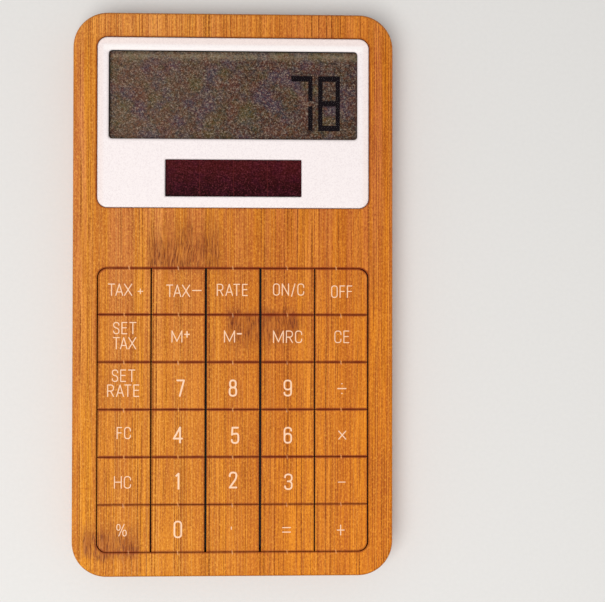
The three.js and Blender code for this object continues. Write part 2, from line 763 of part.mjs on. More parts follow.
const leadX = solarWindow.right - leadInset;
const leadY = (solarWindow.top + solarWindow.bottom) / 2;
piece("circuit_board", circuitBoard(), greenBoard, electronics);
piece("controller_chip", controllerChip(), blackEpoxy, electronics, [
  (chipShare * bodyWidth) / 2,
  bandMiddle,
  boardTop,
]);
piece("capacitor", capacitor(), sleeve, electronics, [
  (capacitorShare * bodyWidth) / 2,
  bandMiddle,
  boardTop + capacitorRadius,
]);
piece("solar_lead_plus", solarLead(1), redWire, electronics, [leadX, leadY, 0]);
piece("solar_lead_minus", solarLead(-1), blackWire, electronics, [-leadX, leadY, 0]);
piece("battery_holder", batteryHolder(), blackPlastic, electronics);
piece("button_cell", buttonCell(), steel, electronics);
piece("contact_plus", contactPlus(), nickel, electronics, [cellX, bandMiddle, 0]);
piece("contact_minus", contactMinus(), nickel, electronics, [cellX, bandMiddle, 0]);
piece("battery_door", batteryDoor(), bamboo, electronics);

screwPlaces.forEach(([x, y], i) => {
  const solid = screw(headRadius, headHeight, shankRadius, shankLength);
  piece("case_screw_" + (i + 1), solid, steel, fastenings, [x, y, footProud + headSink]);
});
piece(
  "door_screw",
  screw(doorHeadRadius, doorHeadHeight, doorShankRadius, doorShankLength),
  steel,
  fastenings,
  [doorScrewX, bandMiddle, footProud + headSink],
);
footPlaces.forEach(([x, y], i) => {
  piece("foot_" + (i + 1), foot(), blackRubber, fastenings, [x, y, 0]);
});

export default calculator;
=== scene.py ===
from collections import namedtuple

import bmesh
import bpy
import numpy as np
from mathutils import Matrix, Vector
from mathutils.geometry import delaunay_2d_cdt


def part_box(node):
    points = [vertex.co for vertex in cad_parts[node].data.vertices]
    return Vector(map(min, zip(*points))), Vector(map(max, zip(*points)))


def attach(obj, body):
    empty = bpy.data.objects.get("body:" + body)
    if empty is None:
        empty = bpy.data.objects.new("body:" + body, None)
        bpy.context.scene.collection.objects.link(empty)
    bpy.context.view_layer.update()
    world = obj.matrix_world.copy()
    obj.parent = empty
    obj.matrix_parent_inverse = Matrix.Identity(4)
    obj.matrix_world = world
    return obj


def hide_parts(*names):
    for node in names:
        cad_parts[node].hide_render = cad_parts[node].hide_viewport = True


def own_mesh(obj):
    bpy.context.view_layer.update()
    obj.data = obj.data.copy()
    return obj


# The looks of the bamboo calculator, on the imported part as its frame. Shapes are worked out in
# millimetres, with +X to the right of the key face, +Y towards the display and +Z out of the face.
MM = 0.001
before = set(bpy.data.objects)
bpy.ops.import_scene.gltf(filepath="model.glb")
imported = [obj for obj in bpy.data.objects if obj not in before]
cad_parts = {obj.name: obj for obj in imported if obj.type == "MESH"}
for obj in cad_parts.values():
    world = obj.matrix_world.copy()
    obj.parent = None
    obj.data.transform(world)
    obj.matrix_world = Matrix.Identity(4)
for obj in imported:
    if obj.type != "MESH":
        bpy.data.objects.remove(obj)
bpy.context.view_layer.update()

Area = namedtuple("Area", "left right bottom top")


def grown(area, by):
    """A plan area with each side moved outwards."""
    return Area(area.left - by, area.right + by, area.bottom - by, area.top + by)


def cad_area(node):
    """The plan area that a CAD node takes up."""
    low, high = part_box(node)
    return Area(low.x / MM, high.x / MM, low.y / MM, high.y / MM)


def cad_levels(node):
    """The lowest and highest level of a CAD node."""
    low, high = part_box(node)
    return low.z / MM, high.z / MM


def cad_middle(node):
    """The middle of a CAD node in plan."""
    area = cad_area(node)
    return np.array([area.left + area.right, area.bottom + area.top]) / 2


# Levels and plan areas that the CAD nodes give
SEAM, FACE = cad_levels("front_shell")
COVER_UNDER = cad_levels("back_cover")[0]
PLATE_UNDER = cad_levels("key_frame")[1]
SKIRT_UNDER, BEZEL_FACE = cad_levels("display_bezel")
LENS_UNDER, BEZEL_UNDER = cad_levels("display_window")
STEM_UNDER = cad_levels("key_5")[0]
BODY = cad_area("front_shell")

# Body and its openings
BODY_RADIUS = 10.8
EDGE_ROUND = 0.9
COVER_ROUND = 0.7
SHELL_WALL = 4.0
SEAM_DEPTH = 0.35
SEAM_HALF = 0.09
SEAM_BREAK = 0.05
BEZEL_FLANGE_WIDTH = 1.4
BEZEL_FLANGE_RADIUS = 7.0
BEZEL_RADIUS = 3.3
BEZEL_FIT = 0.14
BEZEL_SKIRT = 1.2
BEZEL_EDGE = 0.5
WHITE_THICKNESS = 0.65
BLACK_EDGE = 0.02
LCD_WINDOW = Area(-38.95, 38.85, 48.6, 76.33)
SOLAR_WINDOW = Area(-21.3, 21.3, 30.6, 42.2)
LIP_DEPTH = 0.6

# Each window with its corner radius and the width of its rounded lip
WINDOWS = [(LCD_WINDOW, 1.1, 0.9), (SOLAR_WINDOW, 0.3, 0.5)]

# Keys: the saw closes up a little towards the face between rows, where its burr is scorched brown,
# and each line between columns has taken its own bit of the tiles beside it
KEY_ROUND = 0.16
KEYPAD_RADIUS = 3.1
BEZEL_BURN = 0.7
ROW_CREEP = 0.085
KEY_BREAK = 0.08
SCORCH_WIDTH = 0.32
SCORCH_FADE = 0.52
SOOT_DEPTH = 0.25
ROW_SOOT_LOSS = 0.8
ROWS_PALE_BELOW = -58.0
SIDE_SCORCH = 0.42
SIDE_WEAR = (0.03, 0.04, 0.1, 0.08, 0.02, 0.03)
KEY_SINK = 0.02
KEY_FACE = FACE - KEY_SINK
TAB_SHARES = np.array([-1.0, -0.45, 0.45, 1.0])
TAB_OUT_SHARES = np.array([0.0, 1.0, 1.0, 0.0])
TAB_HALF = 0.34
TAB_REACH = 0.045
STEM_WIDTH = 6.0
STEM_LENGTH = 5.0
STEM_RADIUS = 0.4
STEM_FLANGE_LAP = 0.8
STEM_FLANGE = 0.7

KEY_NAMES = [
    ["tax_plus", "tax_minus", "rate", "on_clear", "off"],
    ["set_tax", "memory_plus", "memory_minus", "memory_recall", "clear_entry"],
    ["set_rate", "7", "8", "9", "divide"],
    ["foreign_currency", "4", "5", "6", "multiply"],
    ["home_currency", "1", "2", "3", "minus"],
    ["percent", "0", "decimal", "equals", "plus"],
]
KEYS = {name: cad_area("key_" + name) for names in KEY_NAMES for name in names}
TAB_PLACES = [(KEYS[name].left + KEYS[name].right) / 2 for name in KEY_NAMES[0]]
CORNER_TAB_SHIFT = KEYPAD_RADIUS / 2
EDGE_TAB_PLACES = [
    TAB_PLACES[0] + CORNER_TAB_SHIFT,
    *TAB_PLACES[1:-1],
    TAB_PLACES[-1] - CORNER_TAB_SHIFT,
]
COLUMN_PITCH = (TAB_PLACES[-1] - TAB_PLACES[0]) / 4
ROW_PITCH = (KEYS["set_tax"].top - KEYS["percent"].top) / 4
KEYPAD = Area(
    KEYS["tax_plus"].left,
    KEYS["off"].right,
    KEYS["percent"].bottom,
    KEYS["off"].top,
)
KEYPAD_MIDDLE = (KEYPAD.bottom + KEYPAD.top) / 2
KEYPAD_HALF = (KEYPAD.top - KEYPAD.bottom) / 2
SIDE_GAPS = (0.311, 0.391)
ROW_GAP = 0.3
SECOND_LINE = KEYS["set_tax"].top + ROW_GAP / 2

CORNER_SIGNS = np.array([(1, 1), (-1, 1), (-1, -1), (1, -1)])
LEAST_RADIUS = 0.02
FLAT_STRIP = 0.05
WELD = 1e-7
CREASE = np.radians(35)


def tab_points(places, line, reach):
    """Four points for each tab on a side at y = line, the middle two of which stand out and are
    not scorched, and how much each point is."""
    x = (np.array(places, float)[:, None] + TAB_HALF * TAB_SHARES).ravel()
    out = np.tile(TAB_OUT_SHARES, len(places))
    return np.column_stack([x, line + reach * out]), 1 - out


def loop(area, radius, by=0.0, tabs=((), ()), reach=0.0, steps=8):
    """Points round a rectangle, anticlockwise from its right side, and how much each is scorched.

    A corner is an arc of radius r + by about the point r inside both sides, so that loops with
    another `by` run parallel. The tabs are on the top and on the bottom side and stand out by
    `reach`. Scorching follows the arc from the sides, where it is weak, to the top and bottom,
    where it is full.
    """
    wide = grown(area, by)
    middle = np.array([wide.right + wide.left, wide.top + wide.bottom]) / 2
    half = np.array([wide.right - wide.left, wide.top - wide.bottom]) / 2
    corners = middle + CORNER_SIGNS * half
    radii = np.maximum(np.broadcast_to(radius, 4) + by, LEAST_RADIUS)[:, None]
    turn = np.linspace(0, np.pi / 2, steps + 1) + np.pi / 2 * np.arange(4)[:, None]
    directions = np.stack([np.cos(turn), np.sin(turn)], -1)
    arcs = (corners - CORNER_SIGNS * radii)[:, None] + radii[:, :, None] * directions
    scorch = SIDE_SCORCH + (1 - SIDE_SCORCH) * np.abs(directions[:, :, 1])
    above, above_scorch = tab_points(tabs[0], wide.top, reach)
    below, below_scorch = tab_points(tabs[1], wide.bottom, -reach)
    points = [arcs[0], above[::-1], arcs[1], arcs[2], below, arcs[3]]
    weights = [scorch[0], above_scorch[::-1], scorch[1], scorch[2], below_scorch, scorch[3]]
    return np.concatenate(points), np.concatenate(weights)


def circle(place, radius, sides=48):
    """Points round a circle, anticlockwise, none of them scorched."""
    turn = np.linspace(0, 2 * np.pi, sides, endpoint=False)
    points = np.array(place) + radius * np.stack([np.cos(turn), np.sin(turn)], -1)
    return points, np.zeros(sides)


def quarter(width, depth=None, steps=5):
    """A rounded edge as (outward shift, rise) pairs: a quarter of an ellipse from a wall to a flat
    face, and a narrow strip of that face, in which the shading turns flat."""
    depth = width if depth is None else depth
    turn = np.linspace(0, np.pi / 2, steps + 1)
    shifts, rises = width * (np.cos(turn) - 1), depth * (np.sin(turn) - 1)
    return [*zip(shifts, rises), (-width - FLAT_STRIP, 0.0)]


def shaded(mesh, welded):
    """Makes points that lie together one where the piece is to be welded, turns every face
    outwards, and shades the faces smoothly but for sharp edges."""
    work = bmesh.new()
    work.from_mesh(mesh)
    if welded:
        bmesh.ops.remove_doubles(work, verts=work.verts, dist=WELD)
    bmesh.ops.recalc_face_normals(work, faces=work.faces)
    work.to_mesh(mesh)
    work.free()
    mesh.polygons.foreach_set("use_smooth", np.ones(len(mesh.polygons), bool))
    mesh.set_sharp_from_angle(angle=CREASE)


class Skin:
    """One piece's surface: rings of points at their levels, walls between rings and flat faces."""

    def __init__(self):
        self.points, self.marks, self.walls, self.flats = [], [], [], []
        self.count = 0

    def add(self, points, marks):
        """Adds points with their marks and returns their numbers."""
        self.points.append(points)
        self.marks.append(marks)
        numbers = np.arange(self.count, self.count + len(points))
        self.count += len(points)
        return numbers

    def ring(self, outline, level, mark=0.0, sooty=False):
        """Adds a ring at a level and returns its point numbers. Its mark is the outline's weight of
        scorching times `mark`, or where the wall is sooty 2 for black, less between rows."""
        points, weights = outline
        row_share = np.clip((weights - SIDE_SCORCH) / (1 - SIDE_SCORCH), 0, 1)
        marks = 2 - ROW_SOOT_LOSS * row_share if sooty else weights * mark
        return self.add(np.column_stack([points, np.full(len(points), level)]), marks)

    def rows(self, points):
        """Adds the rows of a grid of points (rows, columns, 3) as unmarked rings."""
        flat = points.reshape(-1, 3)
        return self.add(flat, np.zeros(len(flat))).reshape(points.shape[:2])

    def wall(self, *rings):
        """Joins each ring to the next by quads."""
        for low, high in zip(rings, rings[1:]):
            self.walls.append(np.stack([low, np.roll(low, -1), np.roll(high, -1), high], -1))

    def tube(self, outline, *levels):
        """Adds a straight wall up or down through the levels and returns its rings."""
        rings = [self.ring(outline, level) for level in levels]
        self.wall(*rings)
        return rings

    def flat(self, *rings):
        """Fills the flat face inside the first ring and round the others, which are holes in it,
        with Delaunay triangles: those stay whose middle has an odd number of ring edges to its
        right, at x > x1 + (x2 - x1) * (y - y1) / (y2 - y1) for an edge that passes its height."""
        numbers = np.concatenate(rings)
        points = np.concatenate(self.points)[numbers, :2]
        starts = np.cumsum([0] + [len(ring) for ring in rings])
        following = np.arange(1, len(numbers) + 1)
        following[starts[1:] - 1] = starts[:-1]
        edges = np.column_stack([np.arange(len(numbers)), following]).tolist()
        found = delaunay_2d_cdt(list(map(Vector, points)), edges, [], 0, 1e-6)
        sources = np.array([source[0] for source in found[3]])
        triangles = sources[np.array(found[2])]
        x, y = points[triangles].mean(1).T[:, :, None]
        (x1, y1), (x2, y2) = points.T, points[following].T
        passed = (y1 > y) != (y2 > y)
        crossing = x1 + (x2 - x1) * (y - y1) / np.where(y1 == y2, 1.0, y2 - y1)
        inside = (passed & (crossing > x)).sum(1) % 2 == 1
        self.flats.append(numbers[triangles[inside]])

    def piece(self, name, material, body, slot, replaced=(), welded=False):
        """The finished piece, which keeps its marks, rides on a body and replaces CAD nodes."""
        walls = np.concatenate(self.walls)
        flats = [triangle for flat in self.flats for triangle in flat.tolist()]
        mesh = bpy.data.meshes.new(name)
        mesh.from_pydata((np.concatenate(self.points) * MM).tolist(), [], walls.tolist() + flats)
        mark = mesh.attributes.new("mark", "FLOAT", "POINT")
        mark.data.foreach_set("value", np.concatenate(self.marks))
        shaded(mesh, welded)
        mesh.materials.append(material)
        piece = bpy.data.objects.new(name, mesh)
        bpy.context.scene.collection.objects.link(piece)
        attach(piece, body)
        if replaced:
            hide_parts(*replaced)
        return piece


def surface(name, points, material, slot, replaced=()):
    """A piece of the case from a grid of points (rows, columns, 3) whose columns are closed round
    and whose end rows lie on its axis."""
    skin = Skin()
    skin.wall(*skin.rows(points))
    return skin.piece(name, material, "case", slot, replaced, welded=True)


def turned(profile, place, sides=64):
    """A profile of (radius, level) rows turned round an upright axis, as a grid of points."""
    turn = np.linspace(0, 2 * np.pi, sides, endpoint=False)
    radius, level = np.array(profile, float).T[:, :, None]
    x = place[0] + radius * np.cos(turn)
    y = place[1] + radius * np.sin(turn)
    return np.stack([x, y, level + 0 * turn], -1)


# Materials


def tone(red, green, blue):
    """A colour that is written as on a screen, from 0 to 255, in Blender's linear values."""
    screen = np.array([red, green, blue]) / 255
    linear = np.where(screen <= 0.04045, screen / 12.92, ((screen + 0.055) / 1.055) ** 2.4)
    return (*linear.tolist(), 1.0)


class Wire:
    """A socket that can stand in a sum: each operator adds its Math or Vector Math node."""

    def __init__(self, finish, socket):
        self.finish, self.socket = finish, socket
        self.is_vector = socket.type == "VECTOR"

    def join(self, operation, first, second):
        kind = "VectorMath" if self.is_vector else "Math"
        return self.finish.node(kind, {"operation": operation}, {0: first, 1: second})

    def __add__(self, other):
        return self.join("ADD", self, other)

    def __sub__(self, other):
        return self.join("SUBTRACT", self, other)

    def __mul__(self, other):
        return self.join("MULTIPLY", self, other)

    def __truediv__(self, other):
        return self.join("DIVIDE", self, other)

    def __rsub__(self, other):
        return self.join("SUBTRACT", other, self)

    __radd__ = __add__
    __rmul__ = __mul__

    def least(self, other):
        return self.join("MINIMUM", self, other)

    def most(self, other):
        return self.join("MAXIMUM", self, other)

    def whole(self):
        return self.join("FLOOR", self, 0.0)

    def size(self):
        return self.join("ABSOLUTE", self, 0.0)


class Finish:
    """A material and its nodes. What varies is linked, and what is the same all over is set."""

    def __init__(self, name, **constants):
        self.material = bpy.data.materials.new(name)
        self.material.use_nodes = True
        self.tree = self.material.node_tree
        self.shader = self.tree.nodes["Principled BSDF"]
        for name, value in constants.items():
            self.shader.inputs[self.label(name)].default_value = value
        self.place = self.node("TexCoord", output="Object") * (1 / MM, 1 / MM, 1 / MM)
        self.x, self.y, self.z = (self.node("SeparateXYZ", {}, {0: self.place}, i) for i in range(3))
        self.color = None

    def label(self, name):
        """The label of a shader's socket from its name in lower case."""
        return name.replace("_", " ").title().replace("Ior", "IOR")

    def node(self, kind, settings=None, values=None, output=0):
        """Adds a node, sets its settings, then its sockets to values or links, and gives an output."""
        made = self.tree.nodes.new("ShaderNode" + kind)
        for name, value in (settings or {}).items():
            setattr(made, name, value)
        for name, value in (values or {}).items():
            socket = made.inputs[name]
            if isinstance(value, Wire):
                self.tree.links.new(value.socket, socket)
            elif socket.type == "VECTOR" and np.isscalar(value):
                socket.default_value = (value, value, value)
            else:
                socket.default_value = value
        return Wire(self, made.outputs[output])

    def noise(self, vector, scale, detail=2.0, roughness=0.5):
        values = {"Vector": vector, "Scale": scale, "Detail": detail, "Roughness": roughness}
        return self.node("TexNoise", {"noise_dimensions": "3D"}, values)

    def stretched(self, x_scale, y_scale, z_scale, shift=0.0):
        """Object coordinates in millimetres, drawn out along each axis, and moved to a new place."""
        return self.place * (x_scale, y_scale, z_scale) + (shift, 2 * shift, 3 * shift)

    def random(self, value):
        return self.node("TexWhiteNoise", {"noise_dimensions": "1D"}, {"W": value})

    def step(self, value, low, high):
        """0 below low, 1 above high and smooth in between."""
        settings = {"interpolation_type": "SMOOTHSTEP", "clamp": True}
        return self.node("MapRange", settings, {"Value": value, "From Min": low, "From Max": high})

    def mix(self, factor, first, second, blend="MIX"):
        """A colour between two colours, or their product."""
        settings = {"data_type": "RGBA", "blend_type": blend, "clamp_factor": True}
        return self.node("Mix", settings, {0: factor, 6: first, 7: second}, 2)

    def paint(self, amount, red, green, blue):
        """Covers the colour so far with a share of another one."""
        self.color = self.mix(amount, self.color, tone(red, green, blue))

    def tint(self, amount, red, green, blue):
        """Multiplies the colour so far by a share of another one."""
        self.color = self.mix(amount, self.color, tone(red, green, blue), "MULTIPLY")

    def mark(self):
        return self.node("Attribute", {"attribute_name": "mark"}, {}, "Fac")

    def done(self, roughness, height=None, depth=0.0, **others):
        """Links the colour, the roughness and the bump, whose depth is in millimetres."""
        self.tree.links.new(self.color.socket, self.shader.inputs["Base Color"])
        self.tree.links.new(roughness.socket, self.shader.inputs["Roughness"])
        if height is not None:
            bump = self.node("Bump", {}, {"Height": height, "Distance": depth * MM, "Strength": 1.0})
            self.tree.links.new(bump.socket, self.shader.inputs["Normal"])
        for name, wire in others.items():
            self.tree.links.new(wire.socket, self.shader.inputs[self.label(name)])
        return self.material


# The far floor's colour, and at which distances the floor starts to take it and has it
BACKDROP = tone(229, 227, 224)
FLOOR_LIT = 150
FLOOR_FADED = 450

# Bamboo: the strips' first edge and width, and the dark knuckles of the cane
STRIP_EDGE = -26.6
STRIP_WIDTH = 24.4
DULL_END = STRIP_EDGE + 2 * STRIP_WIDTH
Knuckle = namedtuple("Knuckle", "left right dark frayed")
FACE_KNUCKLES = [
    Knuckle(-26.5, -2.8, 7.5, 27.0),
    Knuckle(-1.9, 22.0, -4.8, -19.5),
    Knuckle(-46.8, -28.0, -82.5, -69.5),
]
COVER_KNUCKLES = [
    Knuckle(-2.1, 21.9, 44.0, 60.0),
    Knuckle(22.4, 46.3, -38.0, -22.0),
]


def threads(made, across, pitch, width, seed):
    """Thin dark fibres along Y, one to each pitch, each at its own place and of its own strength."""
    way = across / pitch + seed
    cell = way.whole()
    place = 0.2 + 0.6 * made.random(cell)
    distance = (way - cell - place).size() * pitch
    strength = made.step(made.random(cell + 0.5), 0.2, 0.95)
    return strength * (1 - made.step(distance, 0.3 * width, width))


def slivers(made):
    """Pale slanted slivers that the saw left across the lines between the rows of keys."""
    column = made.x / COLUMN_PITCH
    row = (made.y - SECOND_LINE) / ROW_PITCH
    near_column, near_row = (column + 0.5).whole(), (row + 0.5).whole()
    at_edge = made.step((made.y - KEYPAD_MIDDLE).size(), KEYPAD_HALF - 2.0, KEYPAD_HALF - 1.0)
    at_corner = at_edge * (near_column.size() - 1).most(0.0) * near_column / 2
    from_column = (column - near_column) * COLUMN_PITCH + CORNER_TAB_SHIFT * at_corner
    from_row = (row - near_row) * ROW_PITCH
    lot = made.random(near_column + 7.0 * near_row)
    wide = 1 - made.step((from_column + 0.3 * lot + 0.22 * from_row).size(), 0.04, 0.24)
    long = 1 - made.step((from_row + 0.3 * lot).size(), 0.3, 0.9)
    below_top = 1 - made.step(made.y, KEYPAD.top + 0.5, KEYPAD.top + 1.5)
    between_sides = 1 - made.step(made.x.size(), KEYPAD.right - 2.0, KEYPAD.right - 1.0)
    on_face = made.step(made.z, FACE - 0.4, FACE - 0.2)
    return wide * long * below_top * between_sides * on_face * (0.22 + 0.42 * lot)


def knuckles(made):
    """Where the cane's knuckles cross a board: within one strip, dark from one end and frayed along
    the grain to the other."""
    fray = 7.0 * (made.noise(made.stretched(0.9, 0.05, 0.9, 7.0), 1.0, 3.0) - 0.5)
    way = made.y + fray
    on_shell = made.step(made.z, SEAM - 0.01, SEAM + 0.01)
    sides = [(knuckle, on_shell) for knuckle in FACE_KNUCKLES]
    sides += [(knuckle, 1 - on_shell) for knuckle in COVER_KNUCKLES]
    found = 0.0
    for knuckle, board in sides:
        left = made.step(made.x, knuckle.left - 0.15, knuckle.left + 0.6)
        right = 1 - made.step(made.x, knuckle.right - 3.0, knuckle.right + 0.5)
        along = (way - knuckle.dark) / (knuckle.frayed - knuckle.dark)
        ends = made.step(along, -0.08, 0.12) * (1 - made.step(along, 0.3, 1.0))
        found = left * right * ends * board + found
    return found


def bamboo():
    """Oiled bamboo: strips glued side by side, fibres along Y, knuckles, and scorched saw cuts."""
    made = Finish("bamboo", specular_ior_level=0.12)
    normal = made.node("TexCoord", output="Normal")
    end = made.step(made.node("SeparateXYZ", {}, {0: normal}, 1).size(), 0.15, 0.95)
    knuckle = knuckles(made)
    sway = made.noise(made.stretched(0.03, 0.011, 0.05), 1.0, 1.0) - 0.5
    fan = made.noise(made.stretched(0.16, 0.08, 0.16, 9.0), 1.0, 1.0) - 0.5
    across = made.x + 1.6 * sway + 2.4 * knuckle * fan
    strip = ((made.x - STRIP_EDGE) / STRIP_WIDTH).whole()
    lot = made.random(strip)
    seam_way = (made.x - STRIP_EDGE) / STRIP_WIDTH - strip
    seam = made.step((seam_way - 0.5).size(), 0.492, 0.497)
    shifted = across + 40.0 * lot
    grain = made.node("CombineXYZ", {}, {0: shifted, 1: 0.022 * made.y, 2: made.z})
    short_grain = made.node("CombineXYZ", {}, {0: shifted, 1: 0.16 * made.y, 2: made.z})
    long_grain = made.node("CombineXYZ", {}, {0: shifted, 1: 0.08 * made.y, 2: made.z})
    fibre = made.step(made.noise(grain, 2.1, 3.0, 0.7), 0.35, 0.63)
    broad = made.step(made.noise(grain, 0.2, 2.0), 0.34, 0.66)
    to_top = made.step(made.y, -60.0, 60.0)
    hue = made.step(made.noise(made.stretched(0.35, 0.012, 0.35, 4.0), 1.0, 3.0), 0.38, 0.62)
    dash = made.step(made.noise(short_grain, 2.6, 2.0, 0.6), 0.55, 0.7)
    come_and_go = made.step(made.noise(made.stretched(0.8, 0.04, 0.8, 2.0), 1.0, 2.0), 0.34, 0.6)
    layered = shifted + 0.8 * made.z
    coarse = threads(made, layered, 2.3, 0.21, 0.0)
    medium = threads(made, layered, 1.4, 0.19, 9.5)
    fine = 0.8 * threads(made, layered, 0.7, 0.15, 4.2)
    cluster = made.step(made.noise(made.stretched(0.3, 0.006, 0.3, 11.0), 1.0, 1.0), 0.36, 0.6)
    thread = coarse.most(medium).most(fine) * come_and_go * (0.6 + 0.4 * cluster)
    thread = thread * (1 - 0.7 * end)
    bright = threads(made, layered, 0.9, 0.16, 21.3)
    fleck = made.noise(made.stretched(2.4, 1.3, 2.4), 1.0, 2.0, 0.8)

    made.color = made.mix(to_top, tone(238, 153, 18), tone(232, 151, 38))
    made.paint(hue * (0.05 + 0.95 * to_top), 227, 143, 84)
    made.paint(0.5 * broad, 198, 110, 28)
    made.paint(0.6 * made.step(made.y, 72.0, 86.0), 242, 164, 76)
    made.paint(0.62 * (1 - fibre), 168, 82, 20)
    made.paint(0.4 * bright, 250, 184, 96)
    made.paint(0.95 * thread, 108, 42, 8)
    made.paint(0.28 * dash, 136, 66, 16)
    made.paint(0.4 * seam, 110, 56, 20)
    made.paint(made.step(fleck, 0.5, 0.74) * 0.6, 254, 182, 76)
    made.paint(made.step(fleck, 0.5, 0.26) * 0.6, 146, 62, 10)

    smudge = made.step(made.noise(made.stretched(0.35, 0.14, 0.35, 3.0), 1.0, 3.0, 0.6), 0.35, 0.6)
    splinter = made.step(made.noise(long_grain, 3.4, 3.0, 0.65), 0.5, 0.6)
    pale = made.step(made.noise(long_grain, 1.7, 2.0, 0.5), 0.46, 0.36)
    made.paint(knuckle * (0.33 + 0.36 * smudge), 152, 78, 24)
    made.paint(knuckle * splinter * (0.5 + 0.45 * smudge), 104, 42, 10)
    made.paint(knuckle * pale * 0.5, 216, 136, 60)

    # Painted shade: the wood is multiplied darker to the right and towards the top, where less of the
    # lamp's light falls
    to_right = made.step(made.x + 6.0 * (lot - 0.5), -46.0, 62.0)
    painted_shade = made.mix(to_top, tone(255, 237, 188), tone(239, 216, 184))
    made.color = made.mix(to_right, made.color, painted_shade, "MULTIPLY")
    from_left = made.step(made.x, STRIP_EDGE + STRIP_WIDTH - 0.2, STRIP_EDGE + STRIP_WIDTH + 0.2)
    duller = from_left * (1 - made.step(made.x, DULL_END - 0.2, DULL_END + 0.2))
    made.tint(duller * (1 - 0.6 * to_top), 250, 244, 226)
    at_left = 1 - made.step(made.x, -30.0, -25.0)
    made.tint(at_left, 251, 247, 255)
    made.paint(0.55 * end, 96, 46, 18)
    made.paint(slivers(made), 244, 190, 146)

    scorch = made.mark() * (0.6 + 0.7 * made.noise(made.stretched(0.3, 0.3, 0.3), 1.0))
    scorch = scorch * (0.74 + 0.26 * made.step(made.y, ROWS_PALE_BELOW - 6.0, ROWS_PALE_BELOW + 6.0))
    made.paint(0.92 * scorch.least(1.0), 128, 42, 2)
    made.paint((made.mark() - 1.0).most(0.0), 8, 3, 3)
    height = fibre - 0.8 * thread - 0.4 * dash + 0.3 * fleck
    return made.done(0.46 + 0.16 * thread + 0.1 * dash, height, 0.03)


def white_plastic():
    """Matt moulded white with a fine spark texture, a painted highlight along the top of the LCD's
    window, painted shade and a painted warm reflection of the wood above the window and in the narrow
    rims beside it, and blacked out inside the windows."""
    made = Finish("white_plastic", specular_ior_level=0.3)
    spark = made.noise(made.place, 2.6, 3.0, 0.7)
    cloud = made.noise(made.place, 0.03, 2.0)
    made.color = made.mix(cloud, tone(243, 233, 231), tone(249, 239, 238))
    made.paint(0.42 * made.step(spark, 0.42, 0.7), 214, 200, 202)
    at_top = made.step(made.y, LCD_WINDOW.top + 1.2, LCD_WINDOW.top + 2.4)
    at_side = made.step(made.x.size(), LCD_WINDOW.right + 1.2, LCD_WINDOW.right + 2.4)
    # Painted highlight: a pale band along the lip above the LCD's window
    lip_highlight = made.step((made.y - LCD_WINDOW.top - 0.7).size(), 1.3, 0.5)
    made.paint(0.5 * lip_highlight * (1 - at_side), 252, 247, 243)
    # Painted shade with a painted warm reflection of the wood, on the bar above the window and the
    # rims beside it
    made.tint((0.75 * at_top).most(0.5 * at_side), 251, 242, 236)
    made.paint(made.mark(), 16, 13, 12)
    return made.done(0.5 + 0.12 * spark, spark, 0.03)


def legend_ink():
    """Warm white screen print, thin enough for the fibres to show through in places."""
    made = Finish("legend_ink", specular_ior_level=0.3)
    fibre = made.noise(made.stretched(2.4, 0.25, 1.0), 1.0, 3.0, 0.6)
    worn = made.step(fibre, 0.56, 0.8)
    made.color = made.mix(0.5 * worn, tone(242, 201, 166), tone(220, 154, 94))
    return made.done(0.45 + 0.2 * worn, fibre, 0.01)


def lcd_glass():
    """The LCD's grey-brown polariser: uneven, with a painted pale band of light below the window's
    top, painted shade from the window's top and left side, and painted black as shade outside the
    window, under the bezel."""
    made = Finish("lcd_glass", specular_ior_level=0.06)
    blotches = [made.noise(made.place + shift, 0.16, 3.0, 0.6) for shift in (0.0, 57.0, 131.0)]
    specks = made.noise(made.place, 2.2, 3.0, 0.8)
    warmth = made.noise(made.place + 200.0, 1.1, 2.0, 0.7)
    made.color = made.mix(made.step(made.x, -34.0, 12.0), tone(95, 73, 56), tone(66, 42, 30))
    # Painted light: a pale band below the window's top
    top_glow = made.step(made.y, LCD_WINDOW.top - 3.3, LCD_WINDOW.top - 1.2)
    made.paint(0.68 * top_glow, 152, 136, 108)
    lip_shade = made.step(made.y, LCD_WINDOW.top - 1.2, LCD_WINDOW.top - 0.4)
    made.paint(0.55 * lip_shade, 44, 30, 20)
    left_shade = 1 - made.step(made.x, LCD_WINDOW.left - 0.3, LCD_WINDOW.left + 1.5)
    made.paint(0.7 * left_shade, 30, 14, 10)
    for blotch, color in zip(blotches, [(86, 79, 34), (99, 54, 46), (72, 56, 80)]):
        made.paint(0.55 * made.step(blotch, 0.45, 0.68), *color)
    made.paint(0.5 * made.step(warmth, 0.5, 0.7), 116, 64, 40)
    made.paint(0.5 * made.step(warmth, 0.5, 0.3), 56, 68, 74)
    made.paint(0.9 * made.step(specks, 0.5, 0.72), 172, 154, 134)
    made.paint(0.95 * made.step(specks, 0.5, 0.3), 14, 6, 4)
    # Painted shade: black outside the window, where the bezel's plate shades the glass
    beside = made.step(made.x.size(), LCD_WINDOW.right - 0.02, LCD_WINDOW.right + 0.06)
    above = made.step(made.y, LCD_WINDOW.top - 0.02, LCD_WINDOW.top + 0.06)
    below = 1 - made.step(made.y, LCD_WINDOW.bottom - 0.06, LCD_WINDOW.bottom + 0.02)
    made.paint(beside.most(above).most(below), 14, 12, 11)
    return made.done(0.35 + 0.1 * blotches[0], specks, 0.01)


def lcd_black():
    """A lit segment: nearly black, with the polariser's faint unevenness."""
    made = Finish("lcd_black", specular_ior_level=0.03)
    speck = made.noise(made.place, 2.2, 2.0, 0.7)
    made.color = made.mix(speck, tone(4, 2, 5), tone(22, 12, 18))
    return made.done(0.4 + 0.1 * speck)


